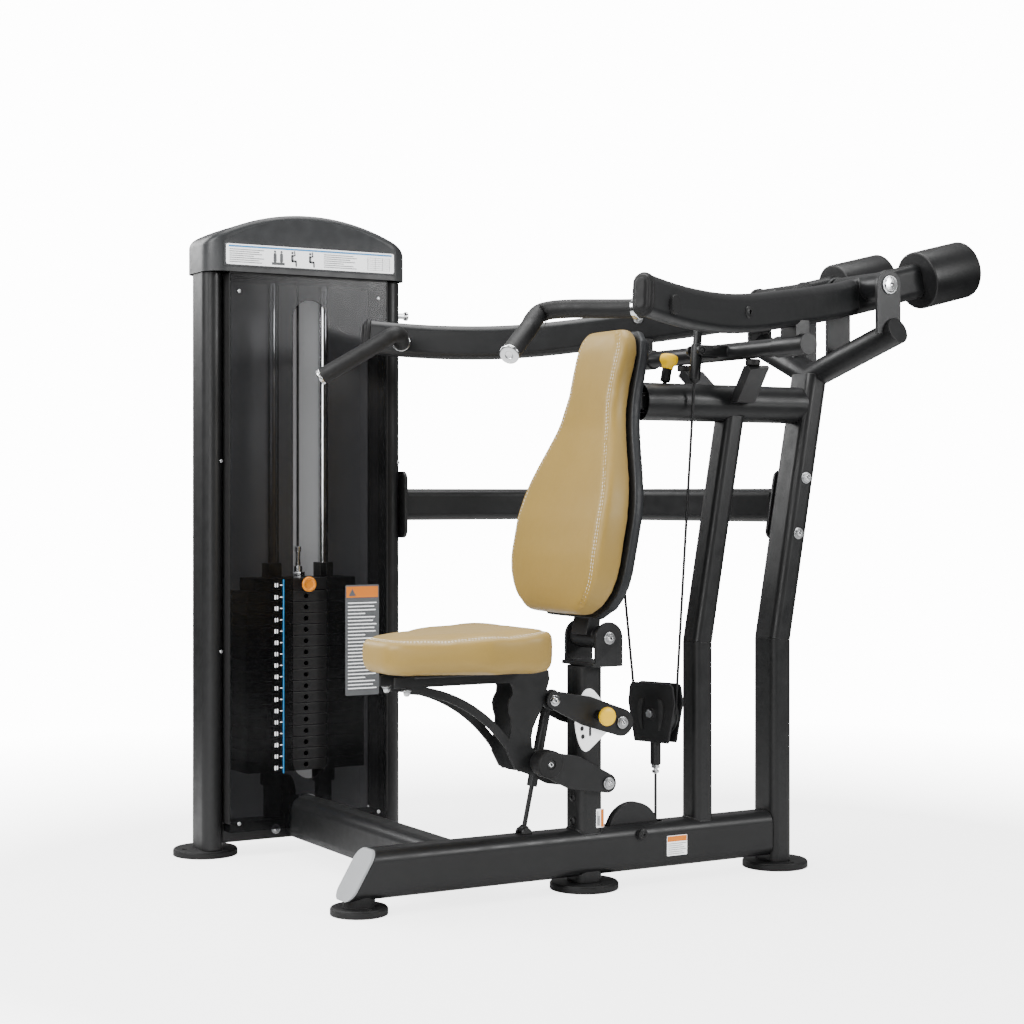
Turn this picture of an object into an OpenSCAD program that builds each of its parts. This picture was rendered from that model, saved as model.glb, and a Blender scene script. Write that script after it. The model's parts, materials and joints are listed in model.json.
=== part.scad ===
// Selectorised shoulder press machine, modelled in millimetres.
// Origin: on the floor under the seat post. The user faces -Y, the weight tower stands on the -X side.

/* [Base frame] */
// Width of the rounded floor rail
rail_w = 76; // [70:1:80]
// Height of the rounded floor rail
rail_h = 98; // [90:1:100]
// Height of the rail's underside above the floor
rail_z = 30; // [26:1:34]
// Front end of the rail, at its underside
rail_front_y = -560; // [-600:5:-540]
// Wall thickness of the frame tubes
tube_wall = 3; // [2:0.5:4]
// Thickness of the floor feet
foot_t = 16; // [14:1:20]
// Position of the rail's rear upright
rear_post_y = 497; // [490:1:510]
// Position of the middle upright
mid_post_y = 292; // [285:1:300]
// Lean of both uprights above their bend
post_lean = 10; // [9:0.5:11]

/* [Weight tower] */
// Distance of the tower's middle from the user's middle plane
tower_x = -760; // [-780:5:-750]
// Position of the tower's middle along the machine
tower_y = -322; // [-330:1:-310]
// Distance between the two column centres
column_pitch = 452; // [440:2:470]
// Depth of a flat-oval tower column
column_d = 100; // [90:1:110]
// Width of a flat-oval tower column
column_w = 50; // [46:1:54]
// Height of the columns' top edge
column_top = 1341; // [1330:1:1350]
// Height of the top of the arched cap
cap_top = 1481; // [1470:1:1500]
// Number of plates under the head plate
plate_count = 16; // [10:1:16]
// Distance between neighbouring plates
plate_pitch = 26.3; // [26.2:0.1:26.5]

/* [Seat] */
// Length of the seat cushion
seat_l = 350; // [340:5:360]
// Width of the seat cushion at the back
seat_w = 340; // [330:5:350]
// Height of the seat cushion's rear seam
seat_top = 558; // [552:1:562]
// Lean of the back cushion
back_lean = 9; // [8:0.5:10]
// Half of the back cushion's greatest width
back_half_w = 181; // [175:1:185]

/* [Press arms] */
// Height of the arms' pivot
pivot_z = 1287; // [1284:1:1290]
// Distance of the arms' pivot behind the seat post
pivot_y = 635; // [632:1:638]
// Height of the arm tube's section
arm_h = 78; // [74:1:80]
// Width of the arm tube's section
arm_w = 40; // [36:1:42]
// Outer diameter of the hand grips
grip_d = 36; // [32:1:38]
// Diameter of a counterweight
counter_d = 129; // [120:1:132]

/* [Hidden] */
$fn = 48;
black = "#1c1d1e";
plastic = "#2b2c2e";
chrome = "#cfd2d4";
leather = "#c9a567";
rubber = "#151516";
yellow = "#f4b81c";
gap = 0.05;

rail_mid_z = rail_z + rail_h / 2;
rail_top = rail_z + rail_h;
rail_r = 24;
post_top = 471;
post_w = 66;
post_d = 60;
post_bend_z = 510;
mitre_gap = 0.02;
rear_w = 80;
rear_d = 55;
mid_w = 60;
mid_d = 50;
rear_top_z = 1100;
link_y = -330;
beam_z = 991;
beam_h = 82;
beam_w = 76;
beam_front_y = 140;
beam_mid_z = beam_z + beam_h / 2;
front_foot = [0, -526];
rear_foot = [0, 504];
front_foot_r = 58;
rail_foot_r = 73;
tower_foot_r = 74;
anchor_r = 6.5;
bolt_r = 11;
bolt_t = 6;

column_y = [tower_y - column_pitch / 2, tower_y + column_pitch / 2];
panel_y0 = column_y[0] + column_w / 2 + 2;
panel_y1 = column_y[1] - column_w / 2 - 2;
panel_x = tower_x + 68;
panel_t = 4;
panel_z0 = 58;
flange_x = panel_x - tower_x - 31;
flange_h = column_top - 13 - panel_z0;
slot_w = 86;
slot_z0 = 170;
slot_z1 = 1284;
rod_r = 12.5;
rod_dy = 66;
stack_z0 = 187;
plate_t = 25.4;
plate_l = 300;
plate_d = 100;
stem_r = 11;
head_z = stack_z0 + plate_count * plate_pitch;
head_t = 29;
pin_z = head_z + 14.2;
pin_r = 4.95;
crossbar_z0 = 30;
crossbar_z1 = 74;
bumper_z = 152;
cap_d = 160;
cap_wall = 3.5;
cap_recess = 2;

cable_r = 3;
cable_z = 79;
floor_pulley_y = 120;
floor_pulley_z = 109;
floor_pulley_r = 62;
block_y = floor_pulley_y + floor_pulley_r;
block_z = 360;
block_r = 52.5;
block_yaw = 20;
corner_r = 24;
corner_cable_y = -347;
tower_pulley_r = 45;
riser_x = -822;
top_pulley_z = 1415;
top_step = [tower_x - riser_x, tower_y - corner_cable_y];
top_pulley_r = norm(top_step) / 2;
top_pulley_a = atan2(top_step[1], top_step[0]);
cable_slope = (cable_z + floor_pulley_r - floor_pulley_z) / (floor_pulley_y - corner_cable_y - corner_r);
post_cable_z = floor_pulley_z - floor_pulley_r + cable_slope * floor_pulley_y;
terminal_y = 253;
terminal_z = 1141;
anchor_y = 98;
anchor_z = 980;

hub_x0 = 70;
hub_x1 = 222;
hub_r = 30;
shaft_r = 12.5;
tail_start = [150, 600, 1266];
tail_end = [143.5, 792.4, 1312.3];
counter_l = 140;
cross_y = 335;
cross_z = 1141;
cross_r = 19;
yoke_foot = [0, 612, 1100];
yoke_tip = [246, 650, 1188];
yoke_r = 29;

arm_pts = [[620, -330, 1214], [568, -226, 1194], [486, -62, 1182], [402, 110, 1188],
    [282, 353, 1222], [196, 510, 1248], [150, 600, 1266], [146, 690, 1288]];
grip_pts = [[560, -150, 1181], [480, -190, 1178], [360, -256, 1184], [318, -290, 1180],
    [326, -316, 1164], [350, -342, 1144], [411, -417, 1091], [470, -490, 1040]];

link_rear_top = [64, 351];
link_rear_low = [30, 225];
link_front_top = [-101, 406];
link_front_low = [-134, 280];
seat_pin = [link_rear_top[0] - 62 * cos(18), link_rear_top[1] + 62 * sin(18)];
link_x = 42;
link_t = 6;
cheek_x = 30;
pivot_r = 9.95;
pad_z0 = 473;
rest_z = 468;
seat_slope = 2.8;
back_pivot = [23, 531];
shell_n = -24;
shell_t = 26;
back_w0 = 32;
back_belly = 120;
back_top_w = 101;
back_tuck = 2.4;
back_front = [[0, -100], [68, -112], [148, -122], [228, -122], [308, -113], [428, -95], [700, -92]];
gas_foot = [-147.9, 136.8];
gas_head = [-92, 392];
gas_l = norm(gas_head - gas_foot);
gas_lean = atan2(gas_head[0] - gas_foot[0], gas_head[1] - gas_foot[1]);

// ---------- shared shapes ----------

// Flat oval, w across and h along the second axis, with full round ends
module oval2d(w, h) {
    square([w, h - w], center = true);
    for (s = [-1, 1]) translate([0, s * (h - w) / 2]) circle(d = w);
}

// Rounded rectangle
module round_rect2d(w, h, r) {
    square([w - 2 * r, h], center = true);
    square([w, h - 2 * r], center = true);
    for (sx = [-1, 1]) for (sy = [-1, 1])
        translate([sx * (w / 2 - r), sy * (h / 2 - r)]) circle(r = r);
}

// Oval bar between two points, its taller side upright
module oval_bar(p, q, w, h) {
    v = q - p;
    translate(p)
        rotate([0, 0, atan2(v[1], v[0])])
        rotate([0, -asin(v[2] / norm(v)), 0])
        rotate([90, 0, 90])
        linear_extrude(norm(v)) oval2d(w, h);
}

// Round bar between two points
module rod(p, q, r) {
    v = q - p;
    translate(p)
        rotate([0, acos(v[2] / norm(v)), atan2(v[1], v[0])])
        cylinder(h = norm(v), r = r);
}

// Round bar along X
module bar_x(y, z, x0, x1, r) {
    translate([x0, y, z]) rotate([0, 90, 0]) cylinder(h = x1 - x0, r = r);
}

// Plate lying in the YZ plane from x0, drawn as (y, z)
module yz_plate(x0, t) {
    translate([x0, 0, 0]) rotate([90, 0, 90]) linear_extrude(t) children();
}

// Button-head bolt on a face whose outward normal is +X or -X
module bolt_x(x, y, z, side) {
    s = side > 0 ? 0 : 180;
    translate([x, y, z]) rotate([0, 90, s]) {
        cylinder(h = 2, r = bolt_r + 2);
        translate([0, 0, 2]) cylinder(h = bolt_t - 2, r = bolt_r);
    }
}

// Upright tube welded from two lengths along one mitre, section drawn in the XY plane
module bent_post(y, z0, z1, w, d, r, wall) {
    module section() {
        difference() {
            round_rect2d(w, d, r);
            if (wall > 0) round_rect2d(w - 2 * wall, d - 2 * wall, r - wall);
        }
    }
    difference() {
        translate([0, y, z0]) linear_extrude(post_bend_z - z0 + 40) section();
        translate([0, y, post_bend_z]) rotate([-post_lean / 2, 0, 0])
            translate([-w, -200, -mitre_gap]) cube([2 * w, 400, 200]);
    }
    difference() {
        translate([0, y, post_bend_z]) rotate([-post_lean, 0, 0])
            translate([0, 0, -40]) linear_extrude((z1 - post_bend_z) / cos(post_lean) + 40) section();
        translate([0, y, post_bend_z]) rotate([-post_lean / 2, 0, 0])
            translate([-w, -200, -200]) cube([2 * w, 400, 200]);
    }
}

function post_y(y, z) = y + max(z - post_bend_z, 0) * tan(post_lean);

// ---------- swept curves ----------

function spline_at(p, i, t) =
    let (a = p[i - 1], b = p[i], c = p[i + 1], d = p[i + 2])
    0.5 * (2 * b + (c - a) * t + (2 * a - 5 * b + 4 * c - d) * t * t
        + (3 * b - a - 3 * c + d) * t * t * t);
function spline(p, n) = [
    for (i = [1 : len(p) - 3]) for (j = [0 : n - 1]) spline_at(p, i, j / n),
    p[len(p) - 2]];
function unit(v) = v / norm(v);
function tangent(c, i) = unit(c[min(i + 1, len(c) - 1)] - c[max(i - 1, 0)]);
function oval_pt(k, n, w, h) =
    let (a = 360 * k / n, s = sin(a))
    [w / 2 * cos(a), w / 2 * s + (h - w) / 2 * (s > 0.001 ? 1 : (s < -0.001 ? -1 : 0))];

// Sweep of a flat oval, w across and h upright, along a curve
module sweep(c, w, h, n) {
    pts = [for (i = [0 : len(c) - 1])
        let (t = tangent(c, i), side = unit(cross([0, 0, 1], t)), up = cross(t, side))
        for (k = [0 : n - 1]) let (q = oval_pt(k, n, w, h)) c[i] + side * q[0] + up * q[1]];
    walls = [for (i = [0 : len(c) - 2]) for (k = [0 : n - 1])
        [i * n + k, (i + 1) * n + k, (i + 1) * n + (k + 1) % n, i * n + (k + 1) % n]];
    first = [for (k = [0 : n - 1]) k];
    last = [for (k = [n - 1 : -1 : 0]) (len(c) - 1) * n + k];
    polyhedron(points = pts, faces = concat(walls, [first, last]));
}

// ---------- base frame ----------

module foot_disc(x, y, r, hole) {
    difference() {
        union() {
            translate([x, y, 0]) cylinder(h = foot_t - 3, r = r);
            translate([x, y, foot_t - 3]) cylinder(h = 3, r = r - 2);
        }
        translate([x + hole[0], y + hole[1], -1]) cylinder(h = foot_t + 2, r = anchor_r);
    }
}

module rail_section(inset) {
    round_rect2d(rail_w - 2 * inset, rail_h - 2 * inset, rail_r - inset);
}

module rail_solid() {
    translate([0, -700, rail_mid_z]) rotate([-90, 0, 0]) linear_extrude(1400) rail_section(0);
}

// Outside of the seat post, from the foot to the top
module post_solid() {
    translate([0, 0, foot_t]) linear_extrude(post_top - foot_t) round_rect2d(post_w, post_d, 18);
}

module feet() {
    color(rubber) {
        foot_disc(front_foot[0], front_foot[1], front_foot_r, [46, 0]);
        foot_disc(0, 0, rail_foot_r, [58, 0]);
        foot_disc(rear_foot[0], rear_foot[1], rail_foot_r, [58, 0]);
        for (y = column_y) foot_disc(tower_x - 14, y, tower_foot_r, [0, y < tower_y ? -50 : 50]);
    }
    color(black) difference() {
        translate([front_foot[0], front_foot[1], foot_t]) cylinder(h = 24, r = 32);
        rail_solid();
    }
}

// The rail's front end is cut on a slant, higher part further back
module rail_cut(shift) {
    translate([-100, rail_front_y + shift, rail_z]) rotate([-31, 0, 0])
        translate([0, -300, -100]) cube([200, 300, 400]);
}

module base_rail() {
    color(black) difference() {
        translate([0, -700, rail_mid_z]) rotate([-90, 0, 0])
            linear_extrude(700 + rear_post_y - rear_d / 2) difference() {
                rail_section(0);
                rail_section(tube_wall);
            }
        post_solid();
        rail_cut(0);
        translate([-12, floor_pulley_y - 72, rail_mid_z]) cube([24, 148, rail_h]);
        translate([-60, corner_cable_y - 9, rail_mid_z - 30]) cube([60, 2 * corner_r + 18, 60]);
        bar_x(floor_pulley_y, floor_pulley_z, -60, 60, 8);
    }
}

module rail_end_plate() {
    color("#b9bbbd") intersection() {
        translate([0, -700, rail_mid_z]) rotate([-90, 0, 0]) linear_extrude(400)
            rail_section(0);
        difference() {
            rail_cut(0);
            rail_cut(-7);
        }
    }
}

module base_link_tube() {
    color(black) difference() {
        translate([tower_x + 30, link_y, rail_mid_z]) rotate([90, 0, 90])
            linear_extrude(-tower_x - 30) difference() {
                rail_section(0);
                rail_section(tube_wall);
            }
        rail_solid();
    }
}

module seat_post() {
    color(black) difference() {
        post_solid();
        translate([0, 0, foot_t + 6]) linear_extrude(post_top)
            round_rect2d(post_w - 2 * tube_wall, post_d - 2 * tube_wall, 15);
        translate([0, 0, post_cable_z]) rotate([90, 0, 0]) cylinder(h = 200, r = 8, center = true);
        bar_x(link_rear_low[0], link_rear_low[1], -50, 50, pivot_r + gap);
    }
}

module mid_upright() {
    color(black) difference() {
        bent_post(mid_post_y, rail_mid_z, beam_z + 16, mid_w, mid_d, 16, tube_wall);
        rail_solid();
        beam_solid();
    }
}

module rear_upright() {
    color(black) difference() {
        bent_post(rear_post_y, foot_t, rear_top_z, rear_w, rear_d, 18, tube_wall);
        yoke_solid();
    }
}

module beam_solid() {
    translate([0, beam_front_y, beam_mid_z]) rotate([-90, 0, 0]) linear_extrude(500)
        oval2d(beam_w, beam_h);
}

// Line of the back rest's locking pin, leaning back out of the beam's top
module knob_axis() {
    translate([0, 206, beam_z + beam_h]) rotate([-12, 0, 0]) children();
}

module upper_beam() {
    color(black) difference() {
        translate([0, beam_front_y, beam_mid_z]) rotate([-90, 0, 0])
            linear_extrude(post_y(rear_post_y, beam_z) - beam_front_y) difference() {
                oval2d(beam_w, beam_h);
                oval2d(beam_w - 2 * tube_wall, beam_h - 2 * tube_wall);
            }
        bent_post(rear_post_y, foot_t, rear_top_z, rear_w, rear_d, 18, 0);
        knob_axis() cylinder(h = 60, r = 8.5, center = true);
    }
}

// Stop legs that the cross tube rests on, and the anchor of the front cable run
module beam_brackets() {
    color(black) {
        difference() {
            for (s = [-1, 1]) translate([s * 22, 384, 1010]) rotate([10, s * 47, 0])
                translate([-13, -24, 0]) cube([26, 48, 150]);
            beam_solid();
            translate([-300, 200, cross_z - 32]) cube([600, 400, 300]);
            translate([-300, 200, beam_z - 100]) cube([600, 400, 100 + beam_h / 2]);
        }
        difference() {
            union() {
                yz_plate(-beam_w / 2 - 6, 6)
                    polygon([[100, 1002], [104, 1040], [230, 1050], [230, 1016], [150, 1004]]);
                yz_plate(-beam_w / 2 - 6, 6) translate([anchor_y + 14, anchor_z + 16])
                    square([60, 30]);
                bar_x(anchor_y, anchor_z, -block_r - 10, -beam_w / 2, 14);
                yz_plate(-beam_w / 2 - 6, 6) translate([anchor_y + 6, anchor_z + 16])
                    circle(r = 24);
            }
            bar_x(anchor_y, anchor_z, -block_r - 20, 0, 6);
            translate([-block_r - 6, anchor_y - 20, anchor_z - 20]) cube([12, 28, 40]);
        }
    }
}

module crossbeam_section(wall) {
    round_rect2d(50 - 2 * wall, 76 - 2 * wall, 18 - wall);
}

// Tube from the tower's rear column, round one bend, to the rear upright
module mid_crossbeam() {
    z = 807;
    x0 = tower_x + 30;
    corner = [x0, 375];
    far = [-rear_w / 2 - 8, post_y(rear_post_y, z)];
    turn = 90 - atan2(far[1] - corner[1], far[0] - corner[0]);
    bend_r = 90;
    cut = bend_r * tan(turn / 2);
    leg = norm(far - corner);
    start_y = column_y[1] + column_w / 2;
    color(black) {
        translate([x0, start_y + 8, z]) rotate([-90, 0, 0])
            linear_extrude(corner[1] - cut - start_y - 8 - mitre_gap) difference() {
                crossbeam_section(0);
                crossbeam_section(tube_wall);
            }
        translate([x0 + bend_r, corner[1] - cut, z]) rotate([0, 0, 180 - turn])
            rotate_extrude(angle = turn) translate([bend_r, 0]) difference() {
                crossbeam_section(0);
                crossbeam_section(tube_wall);
            }
        translate([corner[0], corner[1], z]) rotate([0, 0, 90 - turn]) translate([cut + mitre_gap, 0, 0])
            difference() {
                rotate([90, 0, 90]) linear_extrude(leg - cut + 30) difference() {
                    crossbeam_section(0);
                    crossbeam_section(tube_wall);
                }
                rotate([0, 0, turn - 90]) translate([-corner[0] - cut * sin(turn) + far[0], -300, -100])
                    cube([200, 800, 200]);
            }
        translate([x0, start_y, z]) rotate([-90, 0, 0]) linear_extrude(8) round_rect2d(70, 160, 20);
        translate([-rear_w / 2 - 8 - gap, far[1], z]) rotate([-post_lean, 0, 0]) rotate([90, 0, 90])
            linear_extrude(8) round_rect2d(52, 160, 20);
    }
}

module frame_bolts() {
    color(chrome) {
        for (z = [745, 869]) {
            translate([tower_x + 42, column_y[1] + column_w / 2 + 8, z]) rotate([-90, 0, 0])
                cylinder(h = bolt_t, r = 8);
            bolt_x(rear_w / 2, post_y(rear_post_y, z), z, 1);
        }
        for (s = [-1, 1]) {
            bolt_x(s * 63, back_pivot[0], back_pivot[1], s);
            bolt_x(s * 50, link_rear_top[0], link_rear_top[1], s);
            bolt_x(s * 50, link_rear_low[0], link_rear_low[1], s);
        }
        bar_x(back_pivot[0], back_pivot[1], -63, 63, pivot_r);
        bar_x(link_rear_top[0], link_rear_top[1], -50, 50, pivot_r);
        bar_x(link_rear_low[0], link_rear_low[1], -50, 50, pivot_r);
        bar_x(floor_pulley_y, floor_pulley_z, -40, 40, 8 - gap);
        bolt_x(40, floor_pulley_y, floor_pulley_z, 1);
        bolt_x(-40, floor_pulley_y, floor_pulley_z, -1);
        translate([tower_x + 30, link_y - 62, 52]) rotate([0, 90, 0]) cylinder(h = bolt_t, r = bolt_r);
        translate([-corner_r, corner_cable_y + corner_r, 40]) cylinder(h = 78, r = 5 - gap);
        for (s = [0, 1]) mirror([s, 0, 0]) {
            bar_x(pivot_y, pivot_z, 52, 234, shaft_r);
            bar_x(pivot_y, pivot_z, 234, 238, 20);
            bar_x(pivot_y, pivot_z, 238, 240, 17);
        }
    }
}

// ---------- weight tower ----------

module tower_frame() {
    color(black) {
        for (y = column_y) translate([tower_x, y, foot_t]) rotate([0, 0, 90])
            linear_extrude(column_top - foot_t) difference() {
                oval2d(column_w, column_d);
                oval2d(column_w - 2 * tube_wall, column_d - 2 * tube_wall);
            }
        difference() {
            translate([tower_x - 30, column_y[0] + column_w / 2, crossbar_z0])
                cube([60, column_pitch - column_w, crossbar_z1 - crossbar_z0]);
            translate([tower_x - 27, column_y[0] + column_w / 2 - 1, crossbar_z0 + 3])
                cube([54, column_pitch, crossbar_z1 - crossbar_z0 - 6]);
        }
        difference() {
            translate([tower_x - 40, column_y[0] + column_w / 2, column_top - 12])
                cube([80, column_pitch - column_w, 10]);
            translate([tower_x, tower_y, column_top - 20]) cylinder(h = 30, r = 9);
        }
        for (s = [-1, 1]) translate([tower_x, tower_y + s * rod_dy, crossbar_z1]) difference() {
            cylinder(h = bumper_z - crossbar_z1, r = 20);
            translate([0, 0, -1]) cylinder(h = bumper_z, r = rod_r + 0.3);
        }
        pulley_cheeks(tower_x - 31, (tower_y + corner_cable_y) / 2, column_top - 2,
            top_pulley_z + 14, top_pulley_a, 11, 8 - gap);
        pulley_cheeks(riser_x + tower_pulley_r, corner_cable_y, crossbar_z1,
            cable_z + tower_pulley_r + 14, 0, 11, 8 - gap);
    }
}

// Two cheeks with an axle between them, standing at z0, facing along the angle a
module pulley_cheeks(x, y, z0, z1, a, half, r) {
    translate([x, y, 0]) rotate([0, 0, a]) {
        for (s = [-1, 1]) translate([-12, s * (half + 2.5) - 2.5, z0]) cube([24, 5, z1 - z0]);
        translate([0, -half - 5, z1 - 14]) rotate([-90, 0, 0]) cylinder(h = 2 * half + 10, r = r);
    }
}

module shroud_front() {
    color("#3a3b3d") difference() {
        union() {
            translate([panel_x, panel_y0, panel_z0])
                cube([panel_t, panel_y1 - panel_y0, column_top - 4 - panel_z0]);
            for (y = [panel_y0, panel_y1 - panel_t]) translate([tower_x + 31, y, panel_z0])
                cube([flange_x, panel_t, flange_h]);
        }
        yz_plate(panel_x - 20, 40) translate([tower_y, (slot_z0 + slot_z1) / 2])
            oval2d(slot_w, slot_z1 - slot_z0);
        yz_plate(panel_x - 20, 40) translate([link_y, rail_mid_z]) oval2d(rail_w + 12, rail_h + 12);
        translate([panel_x - 20, link_y - rail_w / 2 - 6, 0])
            cube([40, rail_w + 12, rail_mid_z]);
    }
}

module shroud_rear() {
    color("#8d8f91") {
        translate([2 * tower_x - panel_x - panel_t, panel_y0, panel_z0])
            cube([panel_t, panel_y1 - panel_y0, column_top - 4 - panel_z0]);
        for (y = [panel_y0, panel_y1 - panel_t])
            translate([2 * tower_x - panel_x, y, panel_z0]) cube([flange_x, panel_t, flange_h]);
    }
}

// Cap outline with an arched top, drawn as (y, z); cut is the wall thickness taken off it
module cap_outline(cut) {
    half = column_pitch / 2 + column_w / 2 + 4;
    rise = 68;
    arch_r = (half * half + rise * rise) / (2 * rise);
    intersection() {
        translate([tower_y - half + cut, column_top - (cut > 0 ? 10 : 0)])
            square([2 * half - 2 * cut, cap_top - column_top + 10]);
        translate([tower_y, cap_top - arch_r]) circle(r = arch_r - cut, $fn = 200);
    }
}

module tower_cap() {
    color(plastic) {
        difference() {
            yz_plate(tower_x - cap_d / 2, cap_d) cap_outline(0);
            yz_plate(tower_x - cap_d / 2 + cap_wall, cap_d - 2 * cap_wall) cap_outline(cap_wall);
            yz_plate(tower_x + cap_d / 2 - cap_recess, 10) intersection() {
                translate([tower_y - 220, column_top + 12]) square([440, 140]);
                translate([tower_y, cap_top - 9 - 400]) circle(r = 400, $fn = 200);
            }
        }
        translate([tower_x, tower_y - 120, cap_top - 26]) cylinder(h = 24, r = 16);
    }
}

module placard() {
    color("#e9ebec") yz_plate(tower_x + cap_d / 2 - cap_recess, 1.2) translate([tower_y, column_top + 39])
        round_rect2d(426, 47, 5);
}

module guide_rods() {
    color(chrome) {
        for (s = [-1, 1]) translate([tower_x, tower_y + s * rod_dy, crossbar_z1])
            cylinder(h = column_top - 12 - crossbar_z1, r = rod_r);
        translate([tower_x + 16, column_y[1] + column_w / 2, 1263]) rotate([-90, 0, 0]) {
            cylinder(h = 20, r = 7);
            translate([0, 0, 20]) cylinder(h = 5, r1 = 7, r2 = 11);
            translate([0, 0, 25]) cylinder(h = 5, r = 11);
        }
    }
}

module plate(z, t, l, d, stem) {
    difference() {
        translate([tower_x - d / 2, tower_y - l / 2, z]) cube([d, l, t]);
        for (s = [-1, 1]) translate([tower_x, tower_y + s * rod_dy, z - 1])
            cylinder(h = t + 2, r = rod_r + 0.6);
        translate([tower_x, tower_y, z - 1]) cylinder(h = t + 2, r = stem);
        translate([tower_x, tower_y, z + t / 2]) rotate([0, 90, 0]) cylinder(h = d, r = 5.6);
    }
}

module weight_plates() {
    color("#26282a") for (i = [0 : plate_count - 1])
        plate(stack_z0 + i * plate_pitch, plate_t, plate_l, plate_d, stem_r + 1.5);
}

module rubber_bumpers() {
    color(rubber) {
        for (s = [-1, 1]) translate([tower_x, tower_y + s * rod_dy, bumper_z]) difference() {
            cylinder(h = stack_z0 - bumper_z - 0.2, r = 27);
            translate([0, 0, -1]) cylinder(h = 60, r = rod_r + 0.3);
        }
        for (s = [-1, 1]) translate([s * 128, cross_y + 12, cross_z - 32])
            cylinder(h = 32 - cross_r - 0.1, r = 16);
    }
}

module head_plate() {
    color("#202224") {
        difference() {
            plate(head_z, head_t, plate_l - 44, plate_d - 6, stem_r);
            translate([tower_x - 20, tower_y, pin_z]) rotate([0, 90, 0]) cylinder(h = 100, r = 5.6);
        }
        for (s = [-1, 1]) translate([tower_x, tower_y + s * rod_dy, head_z + head_t]) difference() {
            translate([-20, -17, 0]) cube([40, 34, 34]);
            translate([0, 0, -1]) cylinder(h = 60, r = rod_r + 0.6);
        }
    }
}

module selector_stem() {
    color(chrome) difference() {
        union() {
            translate([tower_x, tower_y, stack_z0 + 6])
                cylinder(h = head_z + head_t + 26 - stack_z0 - 6, r = stem_r - gap);
            translate([tower_x, tower_y, head_z + head_t]) cylinder(h = 12, r = 17, $fn = 6);
            translate([tower_x, tower_y, head_z + head_t + 26]) cylinder(h = 34, r = 7);
            translate([tower_x, tower_y, head_z + head_t + 60]) cylinder(h = 12, r = 9);
        }
        for (i = [0 : plate_count - 1])
            translate([tower_x, tower_y, stack_z0 + i * plate_pitch + plate_t / 2])
            rotate([0, 90, 0]) cylinder(h = 60, r = pin_r + gap, center = true);
        translate([tower_x, tower_y, pin_z]) rotate([0, 90, 0])
            cylinder(h = 60, r = pin_r + gap, center = true);
    }
}

module selector_pin() {
    color("#e08a1e") translate([tower_x, tower_y, pin_z]) rotate([0, 90, 0]) {
        translate([0, 0, -16]) cylinder(h = 74, r = pin_r);
        translate([0, 0, 52]) cylinder(h = 14, r = 9);
        translate([0, 0, 66]) rotate_extrude() translate([14, 0]) circle(r = 4);
        translate([0, 0, 62]) cylinder(h = 5, r = 13);
    }
}

// ---------- cables and pulleys ----------

module groove_disc(r, t, bore) {
    rotate_extrude() difference() {
        translate([bore, -t / 2]) square([r + 5 - bore, t]);
        translate([r + cable_r + 1, 0]) circle(r = cable_r + 1.5);
        translate([r + cable_r + 1, -cable_r - 1.5]) square([9, 2 * cable_r + 3]);
    }
}

module floor_pulley() {
    color(plastic) translate([0, floor_pulley_y, floor_pulley_z]) rotate([0, 90, 0])
        groove_disc(floor_pulley_r - cable_r, 18, 8);
}

module corner_pulley() {
    color(plastic) translate([-corner_r, corner_cable_y + corner_r, cable_z])
        groove_disc(corner_r - cable_r, 12, 5);
}

module tower_pulley() {
    color(plastic) translate([riser_x + tower_pulley_r, corner_cable_y, cable_z + tower_pulley_r])
        rotate([90, 0, 0]) groove_disc(tower_pulley_r - cable_r, 16, 8);
}

module top_pulley() {
    color(plastic) translate([(riser_x + tower_x) / 2, (tower_y + corner_cable_y) / 2, top_pulley_z])
        rotate([0, 0, top_pulley_a]) rotate([90, 0, 0])
        groove_disc(top_pulley_r - cable_r, 16, 8);
}

// Cable that stays in place: in the rail, through the link tube and up the tower
module cable_run() {
    color(rubber) {
        rod([0, floor_pulley_y, floor_pulley_z - floor_pulley_r], [0, corner_cable_y + corner_r, cable_z],
            cable_r);
        rod([-corner_r, corner_cable_y, cable_z], [riser_x + tower_pulley_r, corner_cable_y, cable_z],
            cable_r);
        rod([riser_x, corner_cable_y, cable_z + tower_pulley_r], [riser_x, corner_cable_y, top_pulley_z],
            cable_r);
    }
}

module stack_cable() {
    color(rubber) rod([tower_x, tower_y, head_z + head_t + 72.5], [tower_x, tower_y, top_pulley_z],
        cable_r);
}

module block_cable() {
    color(rubber) rod([0, block_y, floor_pulley_z], [0, block_y, 229], cable_r);
}

module arm_cable() {
    side = block_r * [cos(block_yaw), sin(block_yaw)];
    color(rubber) {
        rod([side[0], block_y + side[1], block_z], [block_r, terminal_y - 6.5, 1072], cable_r);
        rod([-side[0], block_y - side[1], block_z], [-block_r, anchor_y, anchor_z - 14], cable_r);
    }
}

// Frame of the hanging pulley block, turned toward its two cables
module block_frame() {
    translate([0, block_y, block_z]) rotate([0, 0, block_yaw]) children();
}

module block_pulley() {
    color(plastic) block_frame() rotate([90, 0, 0]) groove_disc(block_r - cable_r, 20, 8);
}

module block_outline() {
    hull() for (s = [-1, 1]) {
        translate([s * 46, 54]) circle(r = 12);
        translate([s * 50, 24]) circle(r = 12);
        translate([s * 42, -58]) circle(r = 4);
    }
}

// Two cheeks round the travelling pulley, joined by its axle and a bridge below
module block_housing() {
    color(plastic) block_frame() {
        for (y = [-12, 17]) translate([0, y, 0]) rotate([90, 0, 0])
            linear_extrude(5) block_outline();
        translate([-26, -12, -62]) cube([52, 24, 3.5]);
        translate([0, -17, 0]) rotate([-90, 0, 0]) cylinder(h = 34, r = 8 - gap);
        translate([0, -21, 0]) rotate([-90, 0, 0]) cylinder(h = 4, r = 12);
    }
}

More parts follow.
